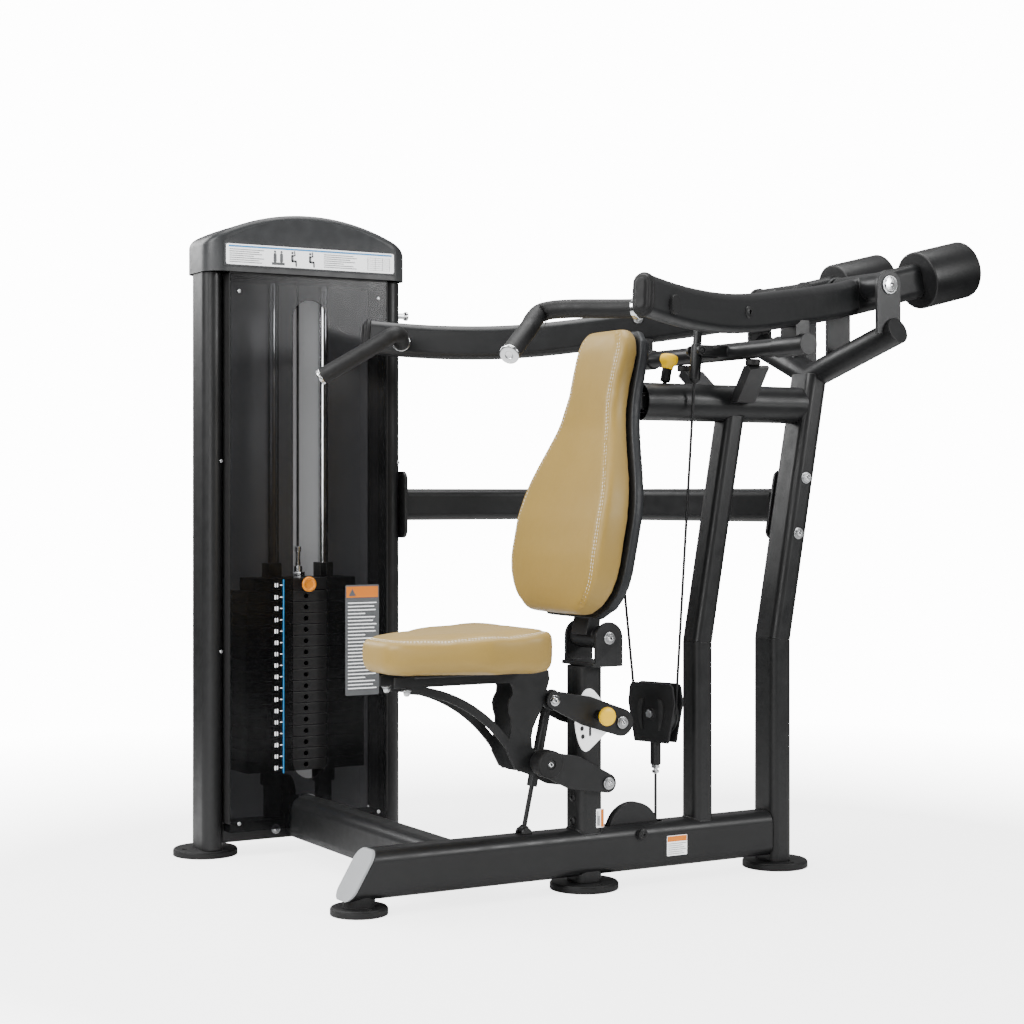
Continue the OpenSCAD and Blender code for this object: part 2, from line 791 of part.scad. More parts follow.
module block_stem() {
    z = block_z - 62;
    color(chrome) {
        translate([0, block_y, z - 50]) cylinder(h = 50, r = 11.5);
        translate([0, block_y, z - 56]) cylinder(h = 6, r = 9.5);
        translate([0, block_y, z - 63]) cylinder(h = 7, r = 5);
        translate([0, block_y, z - 68.5]) cylinder(h = 5.5, r = 9, $fn = 6);
    }
}

// Swivel eye on the cross tube that takes the cable's end
module cable_terminal() {
    lean = atan2(terminal_y - block_y, terminal_z - block_z);
    translate([block_r, terminal_y, terminal_z]) rotate([-lean, 0, 0]) {
        color(chrome) {
            translate([0, 0, 14]) cylinder(h = 36, r = 9.5);
            translate([0, 0, 50]) cylinder(h = 4, r = 8);
        }
        color(black) {
            translate([0, 0, -62]) cylinder(h = 76, r = 12.5);
            translate([0, 0, -68.5]) cylinder(h = 6.5, r1 = 6, r2 = 12.5);
            rotate([0, 90, 0]) cylinder(h = 44, r = 6 - gap, center = true);
        }
    }
}

// ---------- press arms ----------

// V-shaped tube whose two arms meet on the middle plane
module yoke_solid() {
    for (s = [0, 1]) mirror([s, 0, 0]) difference() {
        rod(yoke_foot - 0.3 * (yoke_tip - yoke_foot), yoke_tip, yoke_r);
        translate([-200, 400, 900]) cube([200, 500, 500]);
    }
}

module arm_yoke() {
    color(black) yoke_solid();
}

module pivot_plates() {
    color(black) difference() {
        for (s = [-1, 1]) for (x = [56, 226]) yz_plate(s > 0 ? x : -x - 8, 8) {
            translate([pivot_y, pivot_z]) circle(r = 33);
            translate([pivot_y - 33, x > 100 ? 1180 : 1120]) square([66, pivot_z - (x > 100 ? 1180 : 1120)]);
        }
        yoke_solid();
        bar_x(pivot_y, pivot_z, -300, 300, shaft_r + gap);
    }
}

module arm_hub() {
    color(black) for (s = [0, 1]) mirror([s, 0, 0]) {
        difference() {
            union() {
                bar_x(pivot_y, pivot_z, hub_x0, hub_x1, hub_r);
                oval_bar(tail_start, tail_end, arm_w, arm_h);
            }
            bar_x(pivot_y, pivot_z, 0, 300, shaft_r + gap);
        }
    }
}

module arm_sweep() {
    sweep(spline(arm_pts, 10), arm_w, arm_h, 32);
}

module left_arm() {
    color(black) arm_sweep();
}

module right_arm() {
    color(black) mirror([1, 0, 0]) arm_sweep();
}

module arm_end_caps() {
    d = unit(arm_pts[1] - arm_pts[2]);
    color(rubber) for (s = [0, 1]) mirror([s, 0, 0]) {
        oval_bar(arm_pts[1], arm_pts[1] + d * 9, arm_w + 4, arm_h + 4);
        oval_bar(arm_pts[1] + d * 9, arm_pts[1] + d * 15, arm_w - 6, arm_h - 6);
        oval_bar(arm_pts[1] + d * 15, arm_pts[1] + d * 19, arm_w - 20, arm_h - 20);
    }
}

module cross_tube() {
    color(black) {
        bar_x(cross_y, cross_z, -232, 232, cross_r);
        for (s = [0, 1]) mirror([s, 0, 0]) {
            bar_x(cross_y, cross_z, 232, 334, 22.5);
            translate([262, cross_y - 18, cross_z + 15]) cube([52, 36, 36]);
        }
        difference() {
            union() {
                for (x = [block_r - 24, block_r + 16]) yz_plate(x, 8) {
                    translate([terminal_y, terminal_z]) circle(r = 12);
                    translate([terminal_y, terminal_z - 12]) square([cross_y - 12 - terminal_y, 24]);
                }
            }
            bar_x(terminal_y, terminal_z, 0, 100, 6);
        }
    }
}

module hand_grips() {
    color(rubber) for (s = [0, 1]) mirror([s, 0, 0])
        sweep(concat([grip_pts[0]], spline(grip_pts, 9)), grip_d, grip_d, 24);
}

module grip_caps() {
    end_dir = unit(grip_pts[6] - grip_pts[5]);
    in_dir = unit(grip_pts[1] - grip_pts[0]);
    color(chrome) for (s = [0, 1]) mirror([s, 0, 0]) {
        rod(grip_pts[6], grip_pts[6] + end_dir * 8, grip_d / 2 + 1);
        rod(grip_pts[1] - in_dir * 12, grip_pts[1], grip_d / 2 + 3);
    }
}

module counterweights() {
    d = unit(tail_end - tail_start);
    color(black) for (s = [0, 1]) mirror([s, 0, 0]) {
        rod(tail_end + d * gap, tail_end + d * counter_l, counter_d / 2);
    }
}

// ---------- seat ----------

module back_clevis() {
    w = 67;
    z0 = post_top;
    color(black) difference() {
        union() {
            translate([-63, back_pivot[0] - 40, z0]) cube([126, w + 4, 8]);
            for (x = [-63, 55]) yz_plate(x, 8) {
                translate([back_pivot[0], back_pivot[1]]) circle(r = w / 2);
                translate([back_pivot[0] - w / 2, z0]) square([w, back_pivot[1] - z0]);
            }
        }
        bar_x(back_pivot[0], back_pivot[1], -100, 100, pivot_r + gap);
    }
}

module index_plate() {
    color("#f0f1f1") difference() {
        yz_plate(post_w / 2, 4) polygon([[-22, 420], [-16, 424], [-7, 425], [1, 421], [19, 402], [34, 384],
            [41, 350], [38, 334], [-10, 296], [-19, 293], [-27, 298], [-33, 308], [-38, 322], [-42, 336],
            [-44, 353], [-42, 378], [-34, 402]]);
        for (p = [[-27, 342], [-25, 325]]) bar_x(p[0], p[1], 0, 100, 5.5);
        yz_plate(post_w / 2 - 1, 6) hull() for (z = [328, 342]) translate([-7, z]) circle(r = 3.8);
        for (a = [-22, -11, 0, 11]) bar_x(link_rear_top[0] - 62 * cos(18 + a),
            link_rear_top[1] + 62 * sin(18 + a), 0, 100, 5.5);
    }
}

// Ears behind the post for the upper link, and the gas spring's foot on the rail
module seat_brackets() {
    color(black) {
        for (x = [-30, 24]) difference() {
            yz_plate(x, 6) {
                translate([link_rear_top[0], link_rear_top[1]]) circle(r = 20);
                translate([post_d / 2, link_rear_top[1] - 20])
                    square([link_rear_top[0] - post_d / 2, 40]);
            }
            bar_x(link_rear_top[0], link_rear_top[1], -100, 100, pivot_r + gap);
        }
        difference() {
            for (x = [-15, 9]) yz_plate(x, 6) translate([gas_foot[0], rail_top - 10])
                oval2d(24, 46);
            rail_solid();
        }
    }
}

module link_plates(p, q, bore_q, rp, rm, rq) {
    color(black) for (x = [-link_x - link_t, link_x]) difference() {
        yz_plate(x, link_t) hull() {
            translate(p) circle(r = rp);
            translate(p + 0.52 * (q - p)) circle(r = rm);
            translate(q) circle(r = rq);
        }
        bar_x(p[0], p[1], -100, 100, pivot_r + gap);
        bar_x(q[0], q[1], -100, 100, bore_q);
    }
}

module seat_upper_link() {
    difference() {
        link_plates(link_rear_top, link_front_top, pivot_r + gap, 29, 31, 18);
        bar_x(seat_pin[0], seat_pin[1], 0, 100, 5 + gap);
    }
}

module seat_lower_link() {
    link_plates(link_rear_low, link_front_low, 11, 20, 35, 24);
}

// Two cheeks with curved front struts, a top plate and the four pivot stubs
module seat_carrier() {
    module cheek() {
        translate([-465, rest_z - 22]) square([357, 22]);
        polygon([[-212, 450], [-108, 466], [-106, 449], [-112, 430], [-118, 405], [-127, 385], [-137, 368],
            [-146, 349], [-150, 330], [-148, 311], [-140, 296], [-134, 257], [-165, 258], [-189, 268],
            [-206, 300], [-205, 321], [-199, 345], [-198, 370], [-203, 385], [-205, 400], [-201, 413],
            [-195, 422], [-194, 434], [-200, 446]]);
        translate(link_front_top) circle(r = 22);
        translate(link_front_low) circle(r = 24);
        intersection() {
            translate([-455, 130]) difference() {
                circle(r = 322, $fn = 96);
                circle(r = 304, $fn = 96);
            }
            translate([-440, 262]) square([310, 188]);
        }
    }
    color(black) {
        for (x = [-cheek_x - 6, cheek_x]) yz_plate(x, 6) cheek();
        translate([-75, -440, rest_z]) cube([150, 270, pad_z0 - rest_z - 0.2]);
        for (s = [-1, 1]) {
            bar_x(link_front_top[0], link_front_top[1], s > 0 ? 36 : -50, s > 0 ? 50 : -36, pivot_r);
            bar_x(link_front_low[0], link_front_low[1], s > 0 ? 36 : -88, s > 0 ? 88 : -36, pivot_r);
        }
    }
}

module seat_rollers() {
    color(rubber) for (s = [0, 1]) mirror([s, 0, 0])
        translate([50, link_front_low[0], link_front_low[1]]) rotate([0, 90, 0])
        rotate_extrude() difference() {
            union() {
                translate([pivot_r, 6]) square([19, 28]);
                translate([pivot_r, 0]) square([14, 40]);
                translate([pivot_r + 13, 6]) circle(r = 6);
                translate([pivot_r + 13, 34]) circle(r = 6);
            }
            translate([-10, -10]) square([pivot_r + 10, 60]);
        }
}

module seat_knob() {
    color(yellow) translate([0, seat_pin[0], seat_pin[1]]) rotate([0, 90, 0]) {
        translate([0, 0, 39]) cylinder(h = 40, r = 5);
        translate([0, 0, link_x + link_t + 0.3]) cylinder(h = 22, r = 10);
        translate([0, 0, 70]) cylinder(h = 6, r1 = 11, r2 = 20);
        translate([0, 0, 76]) cylinder(h = 14, r = 20);
    }
}

module gas_frame() {
    translate([0, gas_foot[0], gas_foot[1]]) rotate([-gas_lean, 0, 0]) children();
}

module gas_rod() {
    color(chrome) gas_frame() {
        translate([0, 0, 8]) cylinder(h = 182, r = 5);
        rotate([0, 90, 0]) cylinder(h = 16, r = 8.5, center = true);
    }
}

module gas_cylinder() {
    color(rubber) gas_frame() difference() {
        union() {
            translate([0, 0, 90]) cylinder(h = gas_l - 98, r = 11);
            translate([0, 0, gas_l]) rotate([0, 90, 0]) cylinder(h = 16, r = 10, center = true);
        }
        translate([0, 0, 80]) cylinder(h = 176, r = 5 + gap);
    }
}

// Seat cushion outline seen from above, wide at the back and narrower in front
module seat_outline(cut) {
    back = -150;
    hull() for (s = [-1, 1]) {
        translate([s * (seat_w / 2 - 60), back - 60]) circle(r = 60 - cut);
        translate([s * (seat_w / 2 - 66), back - 150]) circle(r = 60 - cut);
        translate([s * 35, back - seat_l + 60]) circle(r = 60 - cut);
    }
}

// One layer of the cushion, its top sloping down to the front by the seam's slope
module seat_layer(cut, z0, rise) {
    difference() {
        translate([0, 0, z0]) linear_extrude(120) seat_outline(cut);
        translate([0, -150, seat_top + rise]) rotate([seat_slope, 0, 0])
            translate([-250, -450, 0]) cube([500, 500, 200]);
    }
}

module seat_pad() {
    color(leather) {
        translate([0, 0, pad_z0]) linear_extrude(14) seat_outline(7);
        seat_layer(0, pad_z0 + 14, -5);
        seat_layer(6, pad_z0 + 20, 0);
        seat_layer(16, pad_z0 + 26, 5);
    }
}

// ---------- back cushion ----------

// Frame with its origin at the back's pivot, up along the cushion, +Y out of its rear
module back_frame() {
    translate([0, back_pivot[0], back_pivot[1]]) rotate([-back_lean, 0, 0]) children();
}

// Half width of the back cushion at the height h above its lower edge
function back_half(h) =
    h < back_belly ? back_half_w * sqrt(1 - 0.68 * pow(1 - h / back_belly, 2.4))
    : back_top_w + (back_half_w - back_top_w) * (1 + cos(180 * min(max((h - 200) / 290, 0), 1))) / 2;

module back_outline(cut) {
    top = 618;
    rings = 24;
    side = [for (i = [0 : rings]) let (h = top * i / rings)
        [max(back_half(h) - cut - max(h - (top - 34), 0) * 0.9, 20), back_w0 + min(max(h, cut), top - cut)]];
    polygon(concat(side, [for (i = [rings : -1 : 0]) [-side[i][0], side[i][1]]]));
}

// Plate standing in the cushion's own plane, from its rear face n0 to n1
module back_slab(n0, n1, cut) {
    translate([0, n1, 0]) rotate([90, 0, 0]) linear_extrude(n1 - n0) back_outline(cut);
}

// The shell and cushion lean back a little more than the carrier
module tuck_frame() {
    back_frame() translate([0, shell_n, 330]) rotate([-back_tuck, 0, 0]) translate([0, -shell_n, -330])
        children();
}

// Layer of the cushion whose front face follows the contour, set forward by rise
module back_layer(n1, cut, rise) {
    intersection() {
        back_slab(-160, n1, cut);
        translate([-250, 0, 0]) rotate([90, 0, 90]) linear_extrude(500)
            polygon(concat([[0, 0], [0, 700]], [for (i = [len(back_front) - 1 : -1 : 0])
                [back_front[i][1] - rise, back_front[i][0]]]));
    }
}

module back_pad() {
    n = shell_n - shell_t - 0.2;
    color(leather) tuck_frame() {
        back_slab(n - 12, n, 5);
        back_layer(n - 12, 0, -6);
        back_layer(n - 20, 6, 0);
        back_layer(n - 26, 16, 4);
    }
}

module back_shell() {
    color(plastic) tuck_frame() {
        back_slab(shell_n - shell_t, shell_n - 8, 2);
        back_slab(shell_n - 8, shell_n, 8);
    }
}

// Carrier of the back cushion: pivot sleeve, mounting bar and the upper eye
module back_bracket() {
    color(black) {
        difference() {
            union() {
                back_frame() bar_x(0, 0, -54, 54, 25);
                tuck_frame() {
                    translate([-30, shell_n, 0]) cube([60, 8, 530]);
                    for (x = [-30, 22]) translate([x, shell_n, 0]) cube([8, 30, 90]);
                }
                back_frame() translate([-9, shell_n + 14, 484]) cube([18, 36, 44]);
            }
            back_frame() {
                bar_x(0, 0, -100, 100, pivot_r + gap);
                yz_plate(-100, 200) translate([12, 503.75]) oval2d(13.8, 18.3);
            }
        }
    }
}

// Sliding tube that the back's upper eye pins to, in the front of the upper beam
module back_slide() {
    y = back_pivot[0] + 12 * cos(back_lean) + 506 * sin(back_lean);
    z = back_pivot[1] + 506 * cos(back_lean) - 12 * sin(back_lean);
    color("#3b3d40") {
        difference() {
            translate([-22, y + 26, z - 22]) cube([44, 300, 44]);
            translate([-19, y + 34, z - 19]) cube([38, 300, 38]);
            translate([-5.5, 208 - 30, z + 14]) cube([11, 60, 20]);
        }
        for (x = [-22, 12]) translate([x, y - 14, z - 14]) cube([10, 42, 28]);
        bar_x(y, z, -12, 12, 6);
    }
}

// Spring pin that locks the sliding tube; its tip stops just above the tube
module back_knob() {
    color(rubber) knob_axis() {
        translate([0, 0, -16]) cylinder(h = 20, r = 5);
        translate([0, 0, 3]) cylinder(h = 34, r = 11);
    }
    color(yellow) knob_axis() {
        translate([0, 0, 37]) cylinder(h = 9, r1 = 11, r2 = 20);
        translate([0, 0, 46]) cylinder(h = 18, r = 20);
    }
}

feet();
base_rail();
rail_end_plate();
base_link_tube();
tower_frame();
shroud_front();
shroud_rear();
tower_cap();
placard();
guide_rods();
weight_plates();
rubber_bumpers();
seat_post();
mid_upright();
rear_upright();
upper_beam();
beam_brackets();
mid_crossbeam();
frame_bolts();
arm_yoke();
pivot_plates();
back_clevis();
index_plate();
seat_brackets();
cable_run();
left_arm();
right_arm();
arm_hub();
cross_tube();
hand_grips();
grip_caps();
counterweights();
arm_end_caps();
cable_terminal();
arm_cable();
block_housing();
block_stem();
block_pulley();
block_cable();
floor_pulley();
corner_pulley();
tower_pulley();
top_pulley();
head_plate();
selector_stem();
selector_pin();
stack_cable();
seat_upper_link();
seat_lower_link();
seat_carrier();
seat_pad();
seat_rollers();
seat_knob();
gas_cylinder();
gas_rod();
back_pad();
back_shell();
back_bracket();
back_slide();
back_knob();
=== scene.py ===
import json
import math

import bmesh
import bpy
from mathutils import Matrix, Vector
from mathutils.bvhtree import BVHTree
from mathutils.kdtree import KDTree


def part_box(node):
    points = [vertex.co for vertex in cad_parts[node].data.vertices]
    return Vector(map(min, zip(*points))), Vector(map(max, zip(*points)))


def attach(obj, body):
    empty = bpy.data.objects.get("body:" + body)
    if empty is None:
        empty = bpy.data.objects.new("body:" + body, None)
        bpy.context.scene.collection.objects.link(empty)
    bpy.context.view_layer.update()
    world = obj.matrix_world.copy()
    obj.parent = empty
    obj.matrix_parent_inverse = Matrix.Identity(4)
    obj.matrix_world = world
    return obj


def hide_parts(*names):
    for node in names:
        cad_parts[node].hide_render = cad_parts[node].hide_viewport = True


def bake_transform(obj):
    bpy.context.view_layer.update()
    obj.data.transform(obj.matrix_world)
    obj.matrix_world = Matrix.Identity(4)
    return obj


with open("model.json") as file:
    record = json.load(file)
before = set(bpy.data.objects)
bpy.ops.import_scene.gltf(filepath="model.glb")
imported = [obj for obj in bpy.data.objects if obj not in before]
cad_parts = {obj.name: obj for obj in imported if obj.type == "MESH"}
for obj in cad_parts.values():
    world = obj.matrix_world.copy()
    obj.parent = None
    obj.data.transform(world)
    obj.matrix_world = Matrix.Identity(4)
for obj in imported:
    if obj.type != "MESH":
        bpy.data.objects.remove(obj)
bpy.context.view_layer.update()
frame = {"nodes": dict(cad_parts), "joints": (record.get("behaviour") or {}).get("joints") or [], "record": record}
nodes = frame["nodes"]
body_of = {n: b for b, ns in frame["record"]["behaviour"]["bodies"].items() for n in ns}
joint_at = {j["name"]: Vector(j["pos_m"]) for j in frame["joints"] if "pos_m" in j}
X_AXIS, Y_AXIS, UP = Vector((1, 0, 0)), Vector((0, 1, 0)), Vector((0, 0, 1))
MM = 0.001
WHITE, FLOOR_GLOW = 14.0, 3.2  # strengths of the backdrop and of the floor, as the camera sees them
BREAK_ANGLE = math.radians(34)  # edges sharper than this are broken
PRINT_DEPTH = 0.0004
CABLE_R = 0.003
SEAM_REACH, SEAM_DEPTH = 0.009, 0.0028
STITCH_STEP, STITCH_OFFSET = 0.0075, 0.0028
PRESSURE, MOST_SWELL = 4.0, 0.005


# ---------- materials ----------

class Surface:
    """A node material under construction, built on one Principled shader."""

    def __init__(self, name):
        self.material = bpy.data.materials.new(name)
        self.material.use_nodes = True
        self.tree = self.material.node_tree
        self.shader = self.tree.nodes["Principled BSDF"]
        self.coords = self.node("ShaderNodeTexCoord").outputs["Object"]

    def node(self, kind, **settings):
        made = self.tree.nodes.new(kind)
        for key, value in settings.items():
            setattr(made, key, value)
        return made

    def link(self, source, target):
        self.tree.links.new(source, target)

    def noise(self, scale, detail=3.0, stretch=(1, 1, 1)):
        mapping = self.node("ShaderNodeMapping")
        mapping.inputs["Scale"].default_value = stretch
        self.link(self.coords, mapping.inputs["Vector"])
        made = self.node("ShaderNodeTexNoise")
        made.inputs["Scale"].default_value = scale
        made.inputs["Detail"].default_value = detail
        self.link(mapping.outputs["Vector"], made.inputs["Vector"])
        return made.outputs["Fac"]

    def ranged(self, value, low, high, start=0.3, stop=0.7):
        made = self.node("ShaderNodeMapRange")
        for key, number in (("From Min", start), ("From Max", stop), ("To Min", low), ("To Max", high)):
            made.inputs[key].default_value = number
        self.link(value, made.inputs["Value"])
        return made.outputs["Result"]

    def mixed(self, factor, first, second):
        made = self.node("ShaderNodeMix", data_type="RGBA")
        for index, colour in ((6, first), (7, second)):
            if isinstance(colour, tuple):
                made.inputs[index].default_value = (*colour, 1)
            else:
                self.link(colour, made.inputs[index])
        self.link(factor, made.inputs[0])
        return made.outputs[2]

    def bump(self, height, depth, strength=1.0, under=None):
        made = self.node("ShaderNodeBump")
        made.inputs["Strength"].default_value = strength
        made.inputs["Distance"].default_value = depth
        self.link(height, made.inputs["Height"])
        if under is not None:
            self.link(under, made.inputs["Normal"])
        return made.outputs["Normal"]

    def set(self, **values):
        for key, value in values.items():
            self.shader.inputs[key.replace("_", " ")].default_value = value


def tint(colour, factor):
    return tuple(min(1.0, c * factor) for c in colour)


def coated(name, colour, rough=0.4, metal=0.0, grain=900, depth=0.00004, mottle=0.12, wear=0.35, coat=0.0):
    """Paint, plastic or metal: mottled colour, uneven gloss, fine grain and edges worn a little lighter."""
    s = Surface(name)
    soft = s.ranged(s.noise(7), 0, 1)
    base = s.mixed(soft, tint(colour, 1 - mottle), tint(colour, 1 + mottle))
    point = s.node("ShaderNodeNewGeometry").outputs["Pointiness"]
    edge = s.ranged(point, 0, wear, 0.53, 0.62)
    s.link(s.mixed(edge, base, tuple(c + 0.08 for c in colour)), s.shader.inputs["Base Color"])
    s.link(s.ranged(s.noise(38, 5), rough - 0.05, rough + 0.06), s.shader.inputs["Roughness"])
    s.link(s.bump(s.noise(grain, 2), depth), s.shader.inputs["Normal"])
    s.set(Metallic=metal, Coat_Weight=coat, Coat_Roughness=0.12, Specular_IOR_Level=0.38)
    return s.material


def painted_glow(name, colour, strength):
    """Pale surface with a painted glow: its emission makes it give out light of its own, though it is no lamp."""
    s = Surface(name)
    base = s.mixed(s.ranged(s.noise(7), 0, 1), tint(colour, 0.97), colour)
    s.link(base, s.shader.inputs["Base Color"])
    s.link(base, s.shader.inputs["Emission Color"])
    s.link(s.ranged(s.noise(38, 5), 0.38, 0.46), s.shader.inputs["Roughness"])
    s.link(s.bump(s.noise(900, 2), 0.00003), s.shader.inputs["Normal"])
    # painted glow: the emission brightens the surface by itself
    s.set(Emission_Strength=strength)
    return s.material


def polished(name, colour, rough):
    """Bright metal with fine turning lines and faint smears."""
    s = Surface(name)
    lines = s.noise(260, 2, (1, 1, 9))
    smear = s.noise(24, 4)
    s.link(s.mixed(s.ranged(smear, 0, 1), tint(colour, 0.9), colour), s.shader.inputs["Base Color"])
    s.link(s.ranged(smear, rough, rough + 0.12), s.shader.inputs["Roughness"])
    s.link(s.bump(lines, 0.00002, 0.5), s.shader.inputs["Normal"])
    s.set(Metallic=1.0)
    return s.material


def leather(name, colour):
    """Smooth upholstery hide: pebble grain, soft creases and slight colour drift."""
    s = Surface(name)
    cells = s.node("ShaderNodeTexVoronoi", feature="DISTANCE_TO_EDGE")
    cells.inputs["Scale"].default_value = 620
    s.link(s.coords, cells.inputs["Vector"])
    drift = s.ranged(s.noise(5, 4), 0, 1)
    base = s.mixed(drift, tint(colour, 0.92), tint(colour, 1.05))
    pores = s.ranged(cells.outputs["Distance"], 0.35, 0, 0, 0.12)
    s.link(s.mixed(pores, base, tint(colour, 0.72)), s.shader.inputs["Base Color"])
    fine = s.bump(cells.outputs["Distance"], 0.0003, 0.35)
    s.link(s.bump(s.noise(60, 5), 0.0006, 0.4, fine), s.shader.inputs["Normal"])
    s.link(s.ranged(s.noise(45, 4), 0.4, 0.52), s.shader.inputs["Roughness"])
    s.set(Sheen_Weight=0.12, Specular_IOR_Level=0.45)
    return s.material


def smoked(name, colour, through):
    """Dark see-through sheet that shows what stands behind it."""
    s = Surface(name)
    s.link(s.ranged(s.noise(12, 3), 0.16, 0.24), s.shader.inputs["Roughness"])
    s.set(Base_Color=(*colour, 1))
    clear = s.node("ShaderNodeBsdfTransparent")
    clear.inputs["Color"].default_value = (through, through, through * 1.02, 1)
    mix = s.node("ShaderNodeMixShader")
    mix.inputs["Fac"].default_value = 0.3
    s.link(clear.outputs[0], mix.inputs[1])
    s.link(s.shader.outputs[0], mix.inputs[2])
    s.link(mix.outputs[0], s.tree.nodes["Material Output"].inputs["Surface"])
    return s.material


LOOK = {
    "powder": coated("powder_coat", (0.0098, 0.0101, 0.0106), 0.38, grain=1500, wear=0.2),
    "iron": coated("painted_iron", (0.0055, 0.0056, 0.006), 0.44, grain=600, depth=0.0001),
    "arm": coated("arm_coat", (0.014, 0.0145, 0.0152), 0.36, grain=1500, wear=0.25),
    "plastic": coated("moulded_plastic", (0.008, 0.0083, 0.009), 0.46, grain=800, depth=0.00008),
    "cap": coated("cap_plastic", (0.022, 0.0235, 0.025), 0.42, grain=1100, depth=0.00006),
    "shell": coated("shell_plastic", (0.013, 0.0145, 0.0165), 0.5, grain=700, depth=0.0001),
    "rubber": coated("rubber", (0.005, 0.005, 0.0053), 0.58, grain=420, depth=0.00015, wear=0.1),
    "jacket": coated("cable_jacket", (0.009, 0.009, 0.0095), 0.34, grain=900, wear=0.1),
    # painted glow: emission makes the rear sheet bright behind the smoked front sheet
    "grey_sheet": painted_glow("grey_sheet", (0.5, 0.505, 0.515), 0.22),
    "end_grey": coated("end_plate_grey", (0.33, 0.34, 0.35), 0.36, wear=0.1),
    # printed white with a painted glow: emission makes the labels, placard and index plate brighter than the lamps
    # make them
    "white": painted_glow("printed_white", (0.86, 0.87, 0.88), 1.1),
    "ink": coated("printed_grey", (0.12, 0.125, 0.13), 0.5, wear=0.0),
    "blue": coated("printed_blue", (0.03, 0.28, 0.62), 0.4, mottle=0.03, wear=0.0),
    "label_orange": coated("printed_orange", (0.85, 0.24, 0.02), 0.42, mottle=0.03, wear=0.0),
    # yellow with a painted glow: emission makes the knob heads brighter than the lamps make them
    "yellow": painted_glow("knob_yellow", (0.92, 0.56, 0.001), 0.3),
    "orange": coated("pin_orange", (0.78, 0.26, 0.015), 0.3, mottle=0.04, coat=0.3),
    "thread": coated("stitch_thread", (0.86, 0.82, 0.72), 0.7, grain=3000, depth=0.0001, wear=0.0),
    "chrome": polished("chrome", (0.78, 0.79, 0.8), 0.1),
    "steel": polished("bright_steel", (0.6, 0.61, 0.62), 0.24),
    "leather": leather("tan_leather", (0.36, 0.232, 0.05)),
    "smoked": smoked("smoked_sheet", (0.012, 0.0125, 0.0135), 0.5),
}


# ---------- mesh tools ----------

def placed(name, data):
    """A new object of the scene."""
    obj = bpy.data.objects.new(name, data)
    bpy.context.scene.collection.objects.link(obj)
    return obj


def ring_of(bm, place, turn, radius, sides, height=0.0):
    """Vertices on a circle."""
    return [bm.verts.new(place + turn @ Vector((radius * math.cos(2 * math.pi * k / sides),
                                                radius * math.sin(2 * math.pi * k / sides), height)))
            for k in range(sides)]


def bridge(bm, low, high):
    """Faces between two rings of as many vertices."""
    for k in range(len(low)):
        n = (k + 1) % len(low)
        bm.faces.new((low[k], low[n], high[n], high[k]))


def soften(bm, offset):
    """Breaks the edges of a flat raised shape."""
    edges = [e for e in bm.edges if e.calc_face_angle(0) > 1]
    bmesh.ops.bevel(bm, geom=edges, offset=offset, segments=2, affect="EDGES", clamp_overlap=True)


def solid(name, mesh_or_bm, look, body, sharp=35.0):
    """Makes a shown piece that rides on a body; edges over the given angle stay crisp."""
    mesh = mesh_or_bm
    if isinstance(mesh_or_bm, bmesh.types.BMesh):
        mesh = bpy.data.meshes.new(name)
        mesh_or_bm.to_mesh(mesh)
        mesh_or_bm.free()
    mesh.polygons.foreach_set("use_smooth", [True] * len(mesh.polygons))
    mesh.set_sharp_from_angle(angle=math.radians(sharp))
    mesh.materials.clear()
    mesh.materials.append(LOOK[look])
    piece = placed(name, mesh)
    if body:
        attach(piece, body)
    return piece


def even_shading(piece):
    """Flat faces keep flat shading while their broken edges stay smooth."""
    weighted = piece.modifiers.new("normals", "WEIGHTED_NORMAL")
    weighted.keep_sharp = True
    weighted.weight = 60


def cad_mesh(node, flat=True):
    """The CAD node's own surface, welded, with the triangles of flat faces merged."""
    bm = bmesh.new()
    bm.from_mesh(nodes[node].data)
    bmesh.ops.remove_doubles(bm, verts=bm.verts, dist=1e-5)
    if flat:
        bmesh.ops.dissolve_limit(bm, angle_limit=math.radians(0.4), verts=bm.verts, edges=bm.edges)
    return bm


def islands(node):
    """The separate solids of a node, as lists of (point, ...) and faces (normal, area)."""
    bm = cad_mesh(node, flat=False)
    left, found = set(bm.verts), []
    while left:
        seed = left.pop()
        group, todo = {seed}, [seed]
        while todo:
            for edge in todo.pop().link_edges:
                for v in edge.verts:
                    if v not in group:
                        group.add(v)
                        todo.append(v)
        left -= group
        faces = {f for v in group for f in v.link_faces}
        found.append(([v.co.copy() for v in group], [(f.normal.copy(), f.calc_area()) for f in faces]))
    bm.free()
    return sorted(found, key=lambda g: [round(c, 4) for c in sum(g[0], Vector()) / len(g[0])])


def round_part(points, faces):
    """(start, axis, length, radius) of a turned solid: its axis is square to its largest flat faces."""
    areas = {}
    for normal, area in faces:
        key = tuple(round(c, 2) + 0.0 for c in normal)
        areas.setdefault(key, [Vector(), 0.0])
        areas[key][0] += normal * area
        areas[key][1] += area
    axis = max(areas.values(), key=lambda a: a[1])[0].normalized()
    centre = sum(points, Vector()) / len(points)
    heights = [(p - centre).dot(axis) for p in points]
    low, high = min(heights), max(heights)
    rim = [p - axis * (p - centre).dot(axis) for p in points]
    spread = [Vector((min(p[i] for p in rim), max(p[i] for p in rim))) for i in range(3)]
    middle = Vector([(s[0] + s[1]) / 2 for s in spread])
    radius = max((p - middle).length for p in rim)
    return middle + axis * low, axis, high - low, radius


